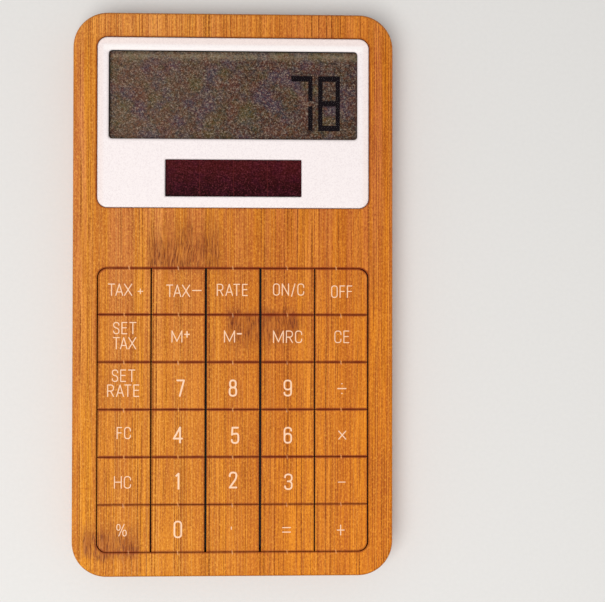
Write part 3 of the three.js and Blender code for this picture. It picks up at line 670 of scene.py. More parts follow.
def solar_glass():
    """Amorphous cells behind glass: dark maroon, darker to the bottom, with three dividing lines."""
    made = Finish("solar_glass", specular_ior_level=0.04)
    cloud = made.noise(made.place, 0.3, 3.0, 0.6)
    specks = made.noise(made.place, 2.2, 3.0, 0.8)
    rise = made.step(made.y, SOLAR_WINDOW.bottom - 1.0, SOLAR_WINDOW.top)
    made.color = made.mix(rise, tone(28, 0, 2), tone(69, 16, 17))
    made.paint(0.5 * made.step(cloud, 0.4, 0.7), 60, 6, 28)
    made.paint(0.8 * made.step(specks, 0.5, 0.72), 118, 50, 60)
    made.paint(0.9 * made.step(specks, 0.5, 0.3), 10, 0, 2)
    cell = (SOLAR_WINDOW.right - SOLAR_WINDOW.left) / 4
    way = (made.x + 2.5 * cell) / cell
    line = 1 - made.step((way - way.whole() - 0.5).size() * cell, 0.05, 0.16)
    edge = made.step(made.x.size(), SOLAR_WINDOW.right - 2.0, SOLAR_WINDOW.right - 1.9)
    made.paint(0.5 * line * (1 - edge), 96, 34, 32)
    return made.done(0.22 + 0.1 * cloud, cloud, 0.005)


def clear_plastic():
    """The clear lens: mostly see-through, with a faint haze and its gloss."""
    made = Finish("clear_plastic", specular_ior_level=0.35)
    haze = made.noise(made.place, 0.2, 2.0)
    made.color = made.mix(haze, tone(60, 58, 54), tone(92, 90, 84))
    return made.done(0.1 + 0.06 * haze, alpha=0.01 + 0.02 * haze)


def moulded(name, dark, light, rough, grain_scale=2.2, depth=0.02, **constants):
    """A moulded or cast finish: two close colours in a fine grain with wear in soft clouds."""
    made = Finish(name, **constants)
    grain = made.noise(made.place, grain_scale, 3.0, 0.65)
    cloud = made.noise(made.place, 0.12, 2.0)
    made.color = made.mix(made.step(grain, 0.3, 0.7) * 0.5 + cloud * 0.5, dark, light)
    return made.done(rough + 0.14 * (grain - 0.5), grain, depth)


def brushed(name, dark, light, rough):
    """Plated metal with fine drawn lines and dull patches."""
    made = Finish(name, metallic=1.0)
    lines = made.noise(made.stretched(0.6, 7.0, 7.0), 1.0, 3.0, 0.6)
    patch = made.noise(made.place, 0.5, 2.0)
    made.color = made.mix(lines * 0.6 + patch * 0.4, dark, light)
    return made.done(rough + 0.16 * patch, lines, 0.006)


def circuit_green():
    """Green solder mask over a net of copper tracks, with tinned dots."""
    made = Finish("circuit_green", specular_ior_level=0.5)
    cells = {"Vector": made.place, "Scale": 0.34}
    track = made.node("TexVoronoi", {"feature": "DISTANCE_TO_EDGE", "distance": "EUCLIDEAN"}, cells)
    cells = {"Vector": made.place, "Scale": 0.34, "Randomness": 0.2}
    dot = made.node("TexVoronoi", {"feature": "F1", "distance": "CHEBYCHEV"}, cells)
    weave = made.noise(made.place, 3.0, 2.0)
    made.color = made.mix(weave, tone(26, 84, 42), tone(36, 104, 54))
    copper = 1 - made.step(track, 0.04, 0.07)
    made.paint(0.7 * copper, 66, 140, 72)
    tinned = 1 - made.step(dot, 0.10, 0.13)
    made.paint(0.85 * tinned, 190, 186, 176)
    return made.done(0.42 - 0.12 * copper, copper, 0.03)


def seen_directly(tree):
    """1 for what the camera sees, also by way of gloss and glass, and 0 for light on surfaces."""
    rays = tree.nodes.new("ShaderNodeLightPath")
    seen = rays.outputs["Is Camera Ray"]
    for kind in ("Is Glossy Ray", "Is Transmission Ray"):
        either = tree.nodes.new("ShaderNodeMath")
        either.operation = "MAXIMUM"
        tree.links.new(seen, either.inputs[0])
        tree.links.new(rays.outputs[kind], either.inputs[1])
        seen = either.outputs[0]
    return seen


def stage_paper():
    """The pale floor: paper with a faint tooth, as pale to the eye far away as it is close by."""
    made = Finish("stage_paper", specular_ior_level=0.0, emission_strength=1.0)
    tooth = made.noise(made.place, 0.8, 3.0)
    made.color = made.mix(tooth, tone(224, 222, 219), tone(229, 227, 224))
    away = made.node("VectorMath", {"operation": "LENGTH"}, {0: made.place}, "Value")
    far = made.step(away, FLOOR_LIT, FLOOR_FADED) * Wire(made, seen_directly(made.tree))
    glow = made.mix(far, (0, 0, 0, 1), BACKDROP)
    made.paint(far, 0, 0, 0)
    return made.done(0.8 + 0.1 * tooth, emission_color=glow)


BAMBOO = bamboo()
WHITE = white_plastic()
INK = legend_ink()
SILICONE = moulded("silicone", tone(126, 131, 138), tone(152, 157, 163), 0.7, 0.9, 0.04)
BLACK_PLASTIC = moulded(
    "black_plastic", tone(16, 16, 16), tone(30, 29, 28), 0.55, specular_ior_level=0.2
)
BLACK_RUBBER = moulded("black_rubber", tone(24, 23, 22), tone(40, 38, 37), 0.85, 1.4, 0.05)
SCREW_STEEL = brushed("screw_steel", tone(120, 120, 124), tone(190, 190, 194), 0.28)
CELL_STEEL = brushed("cell_steel", tone(150, 150, 152), tone(206, 206, 206), 0.22)
NICKEL = brushed("nickel", tone(150, 146, 136), tone(206, 202, 192), 0.25)

# Pieces of the case

# Screws, their holes and the bosses that they go into
Screw = namedtuple("Screw", "head_radius head_height shank_radius")
CASE_SCREW = Screw(2.0, 1.2, 1.1)
DOOR_SCREW = Screw(1.6, 0.7, 0.8)
HEAD_FIT = 0.4
SHANK_FIT = 0.15
TIP_ROOM = 0.4
BOSS_RADIUS = 2.9
BOSS_ROOT = 0.5

# Battery door and cell
DOOR_THICKNESS = 1.4
DOOR_RADIUS = 1.8
DOOR_ROUND = 0.25
DOOR_FIT = 0.2
CELL_HOLE = 6.05
PAD_RADIUS = 4.0
PAD_GAP = 0.3

# Shape of a screw: its cross in head radii, but the cross's depth in head heights, the edge of its
# head as (share of the radius, rise) rows, its thread in shank radii and its tip in shank lengths
CROSS_HALF = 0.16
CROSS_REACH = 0.62
CROSS_SLOPES = (0.06, 0.14)
CROSS_DEPTH = 0.5
HEAD_FLAT = 0.9
HEAD_EDGE = [(0.97, 0.03), (1.0, 0.12)]
THREAD_PITCH = 0.42
THREAD_DEPTH = 0.16
TIP_SHARE = 0.12

# Feet: the hollow is given as (radius, rise) rows
FOOT_RADIUS = 4.0
FOOT_ROUND = 0.45
FOOT_FIT = 0.2
FOOT_HOLLOW = [(0.0, 0.15), (1.6, 0.12), (2.2, 0.0)]

# Lens: its gaps below and above, its broken edge and its corners
LENS_LIFT = 0.06
LENS_DROP = 0.02
LENS_BREAK = 0.1
LENS_RADIUS = 0.4


def saw_cut(face, outwards, burn=1.0):
    """The profile of a sawn edge from the plate up to a face: (shift, level, scorch, sooty).

    The wall is sooty up to a little under the face, its broken edge is scorched, and so is a
    narrow border of the face, which fades away from the cut. A sharp tool burns less and leaves
    no soot. `outwards` is 1 round an opening and -1 round a tile.
    """
    sooty = burn == 1.0
    return [
        (0.0, PLATE_UNDER, burn, sooty),
        (0.0, face - SOOT_DEPTH, burn, sooty),
        (0.0, face - KEY_BREAK, burn),
        (outwards * KEY_BREAK, face, burn),
        (outwards * SCORCH_WIDTH, face, 0.9 * burn),
        (outwards * SCORCH_FADE, face, 0.0),
    ]


def seam_edge():
    """Half of the groove round the body at the seam, as (outward shift, rise, scorch) rows: narrow and
    deep, painted black inside as painted shade, its edge a little broken."""
    return [
        (-SEAM_DEPTH, 0.0, 2.0),
        (-SEAM_DEPTH, SEAM_HALF / 2, 2.0),
        (-SEAM_BREAK, SEAM_HALF, 1.0),
        (0.0, SEAM_HALF + SEAM_BREAK, 0.0),
    ]


def side_ring(skin, by, level, groove_mark=0.0):
    """Adds a ring of the body's outline, moved outwards, that is marked the same all round: 1 scorches
    it, and 2 paints it black as shade inside the seam's groove.
    """
    points, weights = loop(BODY, BODY_RADIUS, by, steps=16)
    return skin.ring((points, np.ones_like(weights)), level, groove_mark)


def shell_piece():
    """Front shell: walls, face and its two openings; the rings follow each edge's profile."""
    skin = Skin()
    cavity = grown(BODY, -SHELL_WALL)
    outer = [side_ring(skin, shift, SEAM + rise, groove_mark) for shift, rise, groove_mark in seam_edge()]
    outer += [side_ring(skin, shift, FACE + rise) for shift, rise in quarter(EDGE_ROUND)]
    skin.wall(*outer)
    inner_loop = loop(cavity, BODY_RADIUS - SHELL_WALL)
    rim, ceiling = skin.tube(inner_loop, SEAM, PLATE_UNDER)
    skin.flat(outer[0], rim)

    bezel = grown(cad_area("display_bezel"), -BEZEL_FLANGE_WIDTH)
    keypad = Area(
        KEYPAD.left - SIDE_GAPS[0],
        KEYPAD.right + SIDE_GAPS[1],
        KEYPAD.bottom - ROW_GAP + ROW_CREEP,
        KEYPAD.top + ROW_GAP - ROW_CREEP,
    )
    mouths, tops = [], []
    no_tabs, edge_tabs = ((), ()), (EDGE_TAB_PLACES, EDGE_TAB_PLACES)
    cuts = ((bezel, BEZEL_RADIUS, no_tabs, BEZEL_BURN), (keypad, KEYPAD_RADIUS, edge_tabs, 1.0))
    for area, radius, tabs, burn in cuts:
        rings = []
        for by, level, *marks in saw_cut(FACE, 1, burn):
            points, weights = loop(area, radius, by, tabs, -TAB_REACH)
            # Round the bezel the scorch is heavier at the sides than at the top and bottom: a real
            # scorch, made heavier at the sides as painted shade in the gap there
            if burn < 1:
                weights = 1 + SIDE_SCORCH - weights
            rings.append(skin.ring((points, weights), level, *marks))
        skin.wall(*rings)
        mouths.append(rings[0])
        tops.append(rings[-1])
    skin.flat(ceiling, *mouths)
    skin.flat(outer[-1], *tops)

    for number in range(1, 5):
        name = f"case_screw_{number}"
        place, tip = cad_middle(name), cad_levels(name)[1]
        boss = skin.tube(circle(place, BOSS_RADIUS), SEAM, PLATE_UNDER + BOSS_ROOT)
        shank_hole = circle(place, CASE_SCREW.shank_radius + SHANK_FIT)
        hole = skin.tube(shank_hole, SEAM, tip + TIP_ROOM)
        skin.flat(boss[1])
        skin.flat(hole[1])
        skin.flat(boss[0], hole[0])
    return skin.piece("bamboo_shell", BAMBOO, "case", "bamboo", ["front_shell"])


def cover_piece():
    """Back cover: rounded lower edge, pockets for the feet, sunk screw holes and the door's recess."""
    skin = Skin()
    outer = [side_ring(skin, shift, SEAM - rise, groove_mark) for shift, rise, groove_mark in seam_edge()]
    outer += [side_ring(skin, shift, COVER_UNDER - rise) for shift, rise in quarter(COVER_ROUND)]
    outer = outer[::-1]
    skin.wall(*outer)
    below, above = [], []

    def bore(outline, depth, *narrower):
        """A hole from below up to a level, then either closed or on through to the top by holes
        inside its outline."""
        mouth, end = skin.tube(outline, COVER_UNDER, depth)
        below.append(mouth)
        onward = [skin.tube(hole, depth, SEAM) for hole in narrower]
        skin.flat(end, *[low for low, high in onward])
        above.extend(high for low, high in onward)

    for number in range(1, 5):
        foot, screw = f"foot_{number}", f"case_screw_{number}"
        pocket = circle(cad_middle(foot), FOOT_RADIUS + FOOT_FIT)
        bore(pocket, cad_levels(foot)[1])
        place = cad_middle(screw)
        head_hole = circle(place, CASE_SCREW.head_radius + HEAD_FIT)
        shank_hole = circle(place, CASE_SCREW.shank_radius + SHANK_FIT)
        bore(head_hole, cad_levels(screw)[0] + CASE_SCREW.head_height, shank_hole)

    recess = loop(grown(cad_area("battery_door"), DOOR_FIT), DOOR_RADIUS + DOOR_FIT)
    cell_hole = circle(cad_middle("button_cell"), CELL_HOLE)
    shank_hole = circle(cad_middle("door_screw"), DOOR_SCREW.shank_radius + SHANK_FIT)
    bore(recess, COVER_UNDER + DOOR_THICKNESS, cell_hole, shank_hole)
    skin.flat(outer[0], *below)
    skin.flat(outer[-1], *above)
    return skin.piece("bamboo_cover", BAMBOO, "case", "bamboo", ["back_cover"])


def door_piece():
    """Battery door: a plate with softened edges, a sunk screw hole, and the pad over the cell."""
    skin = Skin()
    area = cad_area("battery_door")
    top = COVER_UNDER + DOOR_THICKNESS
    outside = [(shift, COVER_UNDER - rise) for shift, rise in quarter(DOOR_ROUND, steps=3)][::-1]
    outside += [(0.0, top)]
    outer = [skin.ring(loop(area, DOOR_RADIUS, by), level) for by, level in outside]
    skin.wall(*outer)
    screw, cell = cad_middle("door_screw"), cad_middle("button_cell")
    head = cad_levels("door_screw")[0] + DOOR_SCREW.head_height
    sunk = skin.tube(circle(screw, DOOR_SCREW.head_radius + HEAD_FIT), COVER_UNDER, head)
    hole = skin.tube(circle(screw, DOOR_SCREW.shank_radius + SHANK_FIT), head, top)
    pad = skin.tube(circle(cell, PAD_RADIUS), top, SEAM - PAD_GAP)
    skin.flat(outer[0], sunk[0])
    skin.flat(sunk[1], hole[0])
    skin.flat(outer[-1], hole[1], pad[0])
    skin.flat(pad[1])
    return skin.piece("bamboo_battery_door", BAMBOO, "case", "bamboo", ["battery_door"])


def bezel_piece():
    """Display bezel: white face with softened edges, two windows, a skirt and a flange below."""
    skin = Skin()
    opening = grown(cad_area("display_bezel"), -BEZEL_FLANGE_WIDTH)
    plate = grown(opening, -BEZEL_FIT)
    radius = BEZEL_RADIUS - BEZEL_FIT
    edge = [(0.0, PLATE_UNDER)]
    edge += [(shift, BEZEL_FACE + rise) for shift, rise in quarter(BEZEL_EDGE)]
    outer = [skin.ring(loop(plate, radius, by), level) for by, level in edge]
    skin.wall(*outer)
    flange_loop = loop(grown(opening, BEZEL_FLANGE_WIDTH), BEZEL_FLANGE_RADIUS)
    flange = skin.tube(flange_loop, PLATE_UNDER, SKIRT_UNDER)
    skirt = skin.tube(loop(plate, radius, -BEZEL_SKIRT), SKIRT_UNDER, BEZEL_UNDER)
    skin.flat(flange[0], outer[0])
    skin.flat(flange[1], skirt[0])

    unders, faces = [], []
    white_under = BEZEL_FACE - WHITE_THICKNESS
    for window, round_radius, lip in WINDOWS:
        black_top = white_under - BLACK_EDGE
        sides = [(0.0, BEZEL_UNDER, 1.0), (0.0, black_top, 1.0), (0.0, white_under, 0.0)]
        sides += [(-shift, BEZEL_FACE + rise, 0.0) for shift, rise in quarter(lip, LIP_DEPTH)]
        rings = []
        for by, level, black in sides:
            points, weights = loop(window, round_radius, by)
            rings.append(skin.ring((points, np.ones_like(weights)), level, black))
        skin.wall(*rings)
        unders.append(rings[0])
        faces.append(rings[-1])
    skin.flat(skirt[1], *unders)
    skin.flat(outer[-1], *faces)
    return skin.piece("white_bezel", WHITE, "case", "white_plastic", ["display_bezel"])


def lens_piece():
    """Clear lens under the window, a plate with broken edges that lies just clear of the LCD."""
    skin = Skin()
    area = cad_area("display_window")
    low, high = LENS_UNDER + LENS_LIFT, BEZEL_UNDER - LENS_DROP
    edge = [(-LENS_BREAK, low), (0.0, low + LENS_BREAK)]
    edge += [(0.0, high - LENS_BREAK), (-LENS_BREAK, high)]
    rings = [skin.ring(loop(area, LENS_RADIUS, by, steps=4), level) for by, level in edge]
    skin.wall(*rings)
    skin.flat(rings[0])
    skin.flat(rings[-1])
    return skin.piece("clear_lens", clear_plastic(), "case", "clear_plastic", ["display_window"])


def foot_piece(number):
    """Rubber foot: a disc with a flat base, a rounded edge and a slight hollow in its middle."""
    name = f"foot_{number}"
    low, high = cad_levels(name)
    profile = [(radius, low + rise) for radius, rise in FOOT_HOLLOW]
    edge = [(FOOT_RADIUS + shift, low - rise) for shift, rise in quarter(FOOT_ROUND)[:-1]]
    profile += [*edge[::-1], (FOOT_RADIUS, high), (0.0, high)]
    points = turned(profile, cad_middle(name))
    return surface(f"rubber_{name}", points, BLACK_RUBBER, "black_rubber", [name])


def screw_piece(name, screw, sides=96):
    """Screw, head down: a polar grid whose level dips in a cross, then the head's side and a shank
    whose radius rises and falls once a turn, so that the thread winds up to the pointed tip."""
    low, high = cad_levels(name)
    turn = np.linspace(0, 2 * np.pi, sides, endpoint=False)
    inner = np.linspace(0, HEAD_FLAT, 24)[:, None]
    u, v = np.abs(inner * np.cos(turn)), np.abs(inner * np.sin(turn))

    def arm(across, along):
        side = np.clip((CROSS_HALF - across) / CROSS_SLOPES[0], 0, 1)
        end = np.clip((CROSS_REACH - along) / CROSS_SLOPES[1], 0, 1)
        return side * end

    dip = np.maximum(arm(u, v), arm(v, u)) * CROSS_DEPTH * screw.head_height
    across = screw.head_radius * inner
    top = np.stack([across * np.cos(turn), across * np.sin(turn), low + dip], -1)

    way = np.linspace(0, 1, 60)[:, None]
    shank_low = low + screw.head_height
    level = shank_low + way * (high - shank_low)
    pitch = THREAD_PITCH * screw.shank_radius
    thread = 0.5 + 0.5 * np.cos(2 * np.pi * (level / pitch) - turn)
    taper = np.clip((1 - way) / TIP_SHARE, TIP_SHARE, 1)
    radius = screw.shank_radius * taper * (1 - THREAD_DEPTH + THREAD_DEPTH * thread)
    shank = np.stack([radius * np.cos(turn), radius * np.sin(turn), level + 0 * turn], -1)
    edge = [(share * screw.head_radius, low + rise) for share, rise in HEAD_EDGE]
    side = turned([*edge, (screw.head_radius, shank_low)], (0, 0), sides)
    tip = turned([(0, high)], (0, 0), sides)
    points = np.concatenate([top, side, shank, tip])
    points[:, :, :2] += cad_middle(name)
    return surface(f"steel_{name}", points, SCREW_STEEL, "screw_steel", [name])


# Keys


def key_piece(name, area, row, column):
    """Key: a tile cut from the face, scorched and broken along its edges, with its plunger below."""
    skin = Skin()
    tile = Area(
        area.left + SIDE_WEAR[column],
        area.right - SIDE_WEAR[column + 1],
        area.bottom - ROW_CREEP,
        area.top + ROW_CREEP,
    )
    outer_side = {-1: column == 0, 1: column == len(KEY_NAMES[0]) - 1}
    outer_end = {-1: row == len(KEY_NAMES) - 1, 1: row == 0}
    outermost = [outer_side[side] and outer_end[end] for side, end in CORNER_SIGNS.tolist()]
    radii = np.where(outermost, KEYPAD_RADIUS - ROW_GAP / 2, KEY_ROUND)
    tabs = [[(EDGE_TAB_PLACES if outer_end[end] else TAB_PLACES)[column]] for end in (1, -1)]
    rings = [
        skin.ring(loop(tile, radii, by, tabs, TAB_REACH), level, *marks)
        for by, level, *marks in saw_cut(KEY_FACE, -1)[::-1]
    ]
    skin.wall(*rings)
    skin.flat(rings[0])
    node = "key_" + name
    x, y = cad_middle(node)
    stem = Area(x - STEM_WIDTH / 2, x + STEM_WIDTH / 2, y - STEM_LENGTH / 2, y + STEM_LENGTH / 2)
    flange_top = STEM_UNDER + STEM_FLANGE
    neck = skin.tube(loop(stem, STEM_RADIUS, steps=4), PLATE_UNDER, flange_top)
    flange_loop = loop(grown(stem, STEM_FLANGE_LAP), STEM_RADIUS, steps=4)
    flange = skin.tube(flange_loop, flange_top, STEM_UNDER)
    skin.flat(rings[-1], neck[0])
    skin.flat(flange[0], neck[1])
    skin.flat(flange[1])
    return skin.piece("tile_" + name, BAMBOO, node, "bamboo", [node])


# Rubber sheet under the keys, whose domes are pieces of their own
SHEET_UNDER, DOME_TOP = cad_levels("dome_sheet")
SHEET_THICKNESS = 0.6
SHEET_RADIUS = 0.5
DOME_BASE = 3.6
DOME_CROWN = 2.2
DOME_WALL = 0.5
DOME_FIT = 0.02
DOME_BREAK = (0.25, 0.2)


def sheet_piece():
    """The flat part of the rubber sheet, with a round opening for each dome."""
    skin = Skin()
    levels = (SHEET_UNDER, SHEET_UNDER + SHEET_THICKNESS)
    outlines = [loop(cad_area("dome_sheet"), SHEET_RADIUS, steps=4)]
    outlines += [circle(cad_middle("key_" + name), DOME_BASE) for name in KEYS]
    walls = [skin.tube(outline, *levels) for outline in outlines]
    for face in zip(*walls):
        skin.flat(*face)
    return skin.piece("rubber_sheet", SILICONE, "case", "silicone", ["dome_sheet"])


def dome_piece(name):
    """A hollow dome under a key: a cone with a rounded crown."""
    x, y = cad_middle("key_" + name)
    collar = SHEET_UNDER + SHEET_THICKNESS
    width, depth = DOME_BREAK
    outside = [
        (0.0, DOME_TOP),
        (DOME_CROWN - width, DOME_TOP),
        (DOME_CROWN, DOME_TOP - depth),
        (DOME_BASE - width, collar + depth),
        (DOME_BASE - DOME_FIT, collar),
    ]
    inside = [(DOME_BASE - DOME_WALL, SHEET_UNDER), (DOME_CROWN - DOME_WALL, DOME_TOP - DOME_WALL)]
    profile = [*outside, (DOME_BASE - DOME_FIT, SHEET_UNDER), *inside, (0.0, DOME_TOP - DOME_WALL)]
    points = turned(profile, (x, y), 48)
    dome = surface("dome_" + name, points, SILICONE, "silicone")
    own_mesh(dome)


# Lettering


def box(left, right, low, high):
    """A closed stroke round a rectangle."""
    return [(left, low), (right, low), (right, high), (left, high), (left, low)]


def angular(*corners):
    """Straight strokes from corner to corner."""
    return list(zip(corners, corners[1:]))


CROSSED = angular((0, 0), (1, 1)) + angular((0, 1), (1, 0))

# Each glyph's width in shares of its height, and its strokes in shares of its width and height. A
# stroke with more than two points turns its corners in curves, and one that ends where it starts
# is closed.
GLYPHS = {
    "A": (0.65, [*angular((0, 0), (0.5, 1), (1, 0)), [(0.18, 0.3), (0.82, 0.3)]]),
    "C": (0.57, [[(1, 0.7), (1, 1), (0, 1), (0, 0), (1, 0), (1, 0.3)]]),
    "E": (0.48, [*angular((1, 1), (0, 1), (0, 0), (1, 0)), [(0, 0.53), (0.9, 0.53)]]),
    "F": (0.46, [*angular((1, 1), (0, 1), (0, 0)), [(0, 0.52), (0.9, 0.52)]]),
    "H": (0.62, [[(0, 0), (0, 1)], [(1, 0), (1, 1)], [(0, 0.52), (1, 0.52)]]),
    "M": (0.86, angular((0, 0), (0, 1), (0.5, 0.06), (1, 1), (1, 0))),
    "N": (0.61, angular((0, 0), (0, 1), (1, 0), (1, 1))),
    "O": (0.56, [box(0, 1, 0, 1)]),
    "R": (0.56, [[(0, 0), (0, 1)], [(0, 1), (1, 1), (1, 0.47), (0, 0.47)], [(0.5, 0.47), (1, 0)]]),
    "S": (0.51, [[(1, 0.76), (1, 1), (0, 1), (0, 0.56), (1, 0.46), (1, 0), (0, 0), (0, 0.24)]]),
    "T": (0.58, [[(0, 1), (1, 1)], [(0.5, 1), (0.5, 0)]]),
    "X": (0.68, CROSSED),
    "/": (0.36, [[(0, -0.1), (1, 1)]]),
    "%": (1.0, [box(0, 0.36, 0.5, 1), box(0.64, 1, 0, 0.5), [(0.22, 0), (0.78, 1)]]),
    "+": (1.0, [[(0, 0.5), (1, 0.5)], [(0.5, 0), (0.5, 1)]]),
    "-": (1.0, [[(0, 0.5), (1, 0.5)]]),
    "x": (1.0, CROSSED),
    "=": (1.0, [[(0, 0), (1, 0)], [(0, 1), (1, 1)]]),
    ":": (1.0, [[(0, 0.5), (1, 0.5)], [(0.49, 0), (0.51, 0)], [(0.49, 1), (0.51, 1)]]),
    ".": (1.0, [[(0.5, 0), (0.5, 1)]]),
    "0": (1.0, [box(0, 1, 0, 1)]),
    "1": (1.0, angular((0, 0.86), (1, 1), (1, 0))),
    "2": (1.0, [[(0, 0.76), (0, 1), (1, 1), (1, 0.62), (0, 0)], [(0, 0), (1, 0)]]),
    "3": (
        1.0,
        [
            [(0, 0.8), (0, 1), (1, 1), (1, 0.53), (0.4, 0.53)],
            [(0.4, 0.53), (1, 0.53), (1, 0), (0, 0), (0, 0.2)],
        ],
    ),
    "4": (1.0, angular((0.76, 0), (0.76, 1), (0, 0.26), (1, 0.26))),
    "5": (
        1.0,
        [
            *angular((0.93, 1), (0.1, 1), (0.04, 0.54)),
            [(0.04, 0.58), (1, 0.64), (1, 0), (0, 0), (0, 0.2)],
        ],
    ),
    "6": (1.0, [box(0, 1, 0, 0.6), [(1, 0.8), (1, 1), (0, 1), (0, 0.3)]]),
    "7": (1.0, angular((0, 1), (1, 1), (0.38, 0))),
    "8": (1.0, [box(0, 1, 0, 0.54), box(0.06, 0.94, 0.54, 1)]),
    "9": (1.0, [box(0, 1, 0.4, 1), [(0, 0.2), (0, 0), (1, 0), (1, 0.7)]]),
}
LETTER_GAP = 0.17
KERNING = {"TA": 0.02, "AT": 0.02, "AX": 0.06}
WORD_STROKE = 0.31
DIGIT_STROKE = 0.55
ROUND_STROKE = 0.5
SIGN_STROKE = 0.31

# Words of each key: text, middle across and up from the key's, width, height and stroke
LEGENDS = {
    "tax_plus": [("TAX", -1.27, 0.5, 7.5, 3.8, WORD_STROKE), ("+", 5.0, 0.0, 1.75, 1.75, 0.3)],
    "tax_minus": [("TAX", -0.09, 0.19, 7.4, 3.9, WORD_STROKE), ("-", 5.73, 0.3, 2.95, 0.6, 0.32)],
    "rate": [("RATE", -0.26, 0.5, 9.67, 3.78, WORD_STROKE)],
    "on_clear": [("ON/C", 0.28, 0.66, 9.75, 3.8, WORD_STROKE)],
    "off": [("OFF", 0.12, 0.03, 6.62, 3.9, WORD_STROKE)],
    "set_tax": [
        ("SET", 0.22, 3.18, 7.17, 3.8, WORD_STROKE),
        ("TAX", 0.16, -1.52, 7.2, 3.8, WORD_STROKE),
    ],
    "memory_plus": [("M", -0.44, 0.6, 3.37, 3.77, WORD_STROKE), ("+", 2.69, 1.25, 1.75, 2.1, 0.38)],
    "memory_minus": [("M", -1.1, 0.6, 3.45, 3.77, WORD_STROKE), ("-", 1.98, 1.45, 1.6, 0.5, 0.46)],
    "memory_recall": [("MRC", -0.02, 0.52, 9.11, 3.9, WORD_STROKE)],
    "clear_entry": [("CE", 0.19, 0.52, 4.65, 3.9, 0.28)],
    "set_rate": [
        ("SET", -0.11, 3.15, 7.25, 3.85, WORD_STROKE),
        ("RATE", -0.21, -1.5, 9.95, 3.85, WORD_STROKE),
    ],
    "7": [("7", 0.75, -0.72, 2.6, 5.35, DIGIT_STROKE)],
    "8": [("8", 0.0, -0.72, 2.6, 5.35, DIGIT_STROKE)],
    "9": [("9", 0.06, -0.72, 2.6, 5.25, ROUND_STROKE)],
    "divide": [(":", 0.21, -0.9, 2.9, 3.4, 0.37)],
    "foreign_currency": [("FC", 0.0, 0.11, 4.4, 3.75, WORD_STROKE)],
    "4": [("4", -0.06, -0.52, 3.12, 5.2, DIGIT_STROKE)],
    "5": [("5", 0.7, -0.67, 2.6, 5.32, DIGIT_STROKE)],
    "6": [("6", 0.11, -0.67, 2.6, 5.2, ROUND_STROKE)],
    "multiply": [("x", 0.34, -0.67, 2.5, 2.82, SIGN_STROKE)],
    "home_currency": [("HC", -0.34, -0.41, 5.25, 3.85, 0.28)],
    "1": [("1", -0.17, -0.11, 1.23, 5.21, DIGIT_STROKE)],
    "2": [("2", 0.11, 0.2, 2.6, 5.21, DIGIT_STROKE)],
    "3": [("3", 0.3, -0.41, 2.6, 5.1, ROUND_STROKE)],
    "minus": [("-", 0.2, -0.57, 2.4, 0.6, 0.27)],
    "percent": [("%", -0.61, -0.46, 3.2, 3.85, 0.26)],
    "0": [("0", 0.0, -0.31, 2.6, 5.4, ROUND_STROKE)],
    "decimal": [(".", -0.4, 0.0, 0.34, 1.0, 0.3)],
    "equals": [("=", -0.25, -0.61, 2.75, 1.7, 0.3)],
    "plus": [("+", -0.12, -0.76, 2.47, 3.36, SIGN_STROKE)],
}
CURVE_STEPS = np.linspace(0, 1, 9)[:, None]

# Strokes that cross lie at slightly different levels, so that no two faces are in one plane, and
# their sides go a little way into the key
INK_STEP = 0.002
INK_ROOT = 0.02


def curved(corners, reach):
    """A path through its end points that cuts each corner with a quadratic curve.

    The curve starts and ends `reach` from the corner, or half way to the next one if that is
    nearer, and has the corner as its control point.
    """
    closed = np.allclose(corners[0], corners[-1])
    if len(corners) == 2:
        return corners, False
    chain = np.concatenate([corners[-2:-1], corners]) if closed else corners
    share = np.full(len(chain), 0.5)
    if not closed:
        share[[0, -1]] = 1.0
    t = CURVE_STEPS
    parts = [] if closed else [chain[:1]]
    for number in range(1, len(chain) - 1):
        corner = chain[number]
        ends = []
        for other in (number - 1, number + 1):
            way = chain[other] - corner
            length = np.hypot(*way)
            ends.append(corner + way * min(reach, share[other] * length) / length)
        parts.append((1 - t) ** 2 * ends[0] + 2 * t * (1 - t) * corner + t**2 * ends[1])
    if not closed:
        parts.append(chain[-1:])
    points = np.concatenate(parts)
    step = np.hypot(*(points - np.roll(points, 1, 0)).T)
    return points[step > 1e-4], closed


def stroke(points, closed, width, low, high):
    """A line of even width as a grid: a rectangle carried along the path, its corners at half the
    width to either side along the path's normal. At a free end the path goes on by a half circle,
    over which the width shrinks to nothing."""
    half = np.full(len(points), width / 2)
    if closed:
        ahead = np.roll(points, -1, 0) - np.roll(points, 1, 0)
    else:
        ahead = np.gradient(points, axis=0)
    ahead = ahead / np.hypot(*ahead.T)[:, None]
    if not closed:
        turn = np.linspace(0, np.pi / 2, 6)[1:]
        reach, narrow = width / 2 * np.sin(turn)[:, None], width / 2 * np.cos(turn)
        start = points[0] - ahead[0] * reach[::-1]
        end = points[-1] + ahead[-1] * reach
        points = np.concatenate([start, points, end])
        half = np.concatenate([narrow[::-1], half, narrow])
        ahead = ahead[np.clip(np.arange(len(points)) - len(turn), 0, len(ahead) - 1)]
    side = np.column_stack([-ahead[:, 1], ahead[:, 0]]) * half[:, None]
    plan = np.stack([points + side, points + side, points - side, points - side], 1)
    level = np.broadcast_to([low, high, high, low], plan.shape[:2])
    return np.dstack([plan, level])


def print_line(skin, text, x, y, width, height, pen, low, high):
    """Adds a line of text: glyphs side by side, drawn to the line's width, as raised strokes."""
    gaps = [KERNING.get(a + b, LETTER_GAP) for a, b in zip(text, text[1:])] + [0.0]
    widths = np.array([GLYPHS[letter][0] for letter in text])
    scale = width / (widths.sum() + sum(gaps))
    left = x - width / 2
    for letter, share, gap in zip(text, widths, gaps):
        inner = np.array([share * scale - pen, max(height - pen, 0.0)])
        corner = np.array([left, y - height / 2]) + pen / 2
        for number, line in enumerate(GLYPHS[letter][1]):
            points, closed = curved(corner + np.array(line, float) * inner, inner[0] / 2)
            sunk = INK_STEP * number
            rings = skin.rows(stroke(points, closed, pen, low - sunk, high - sunk))
            skin.wall(*rings, *rings[:closed])
        left += (share + gap) * scale


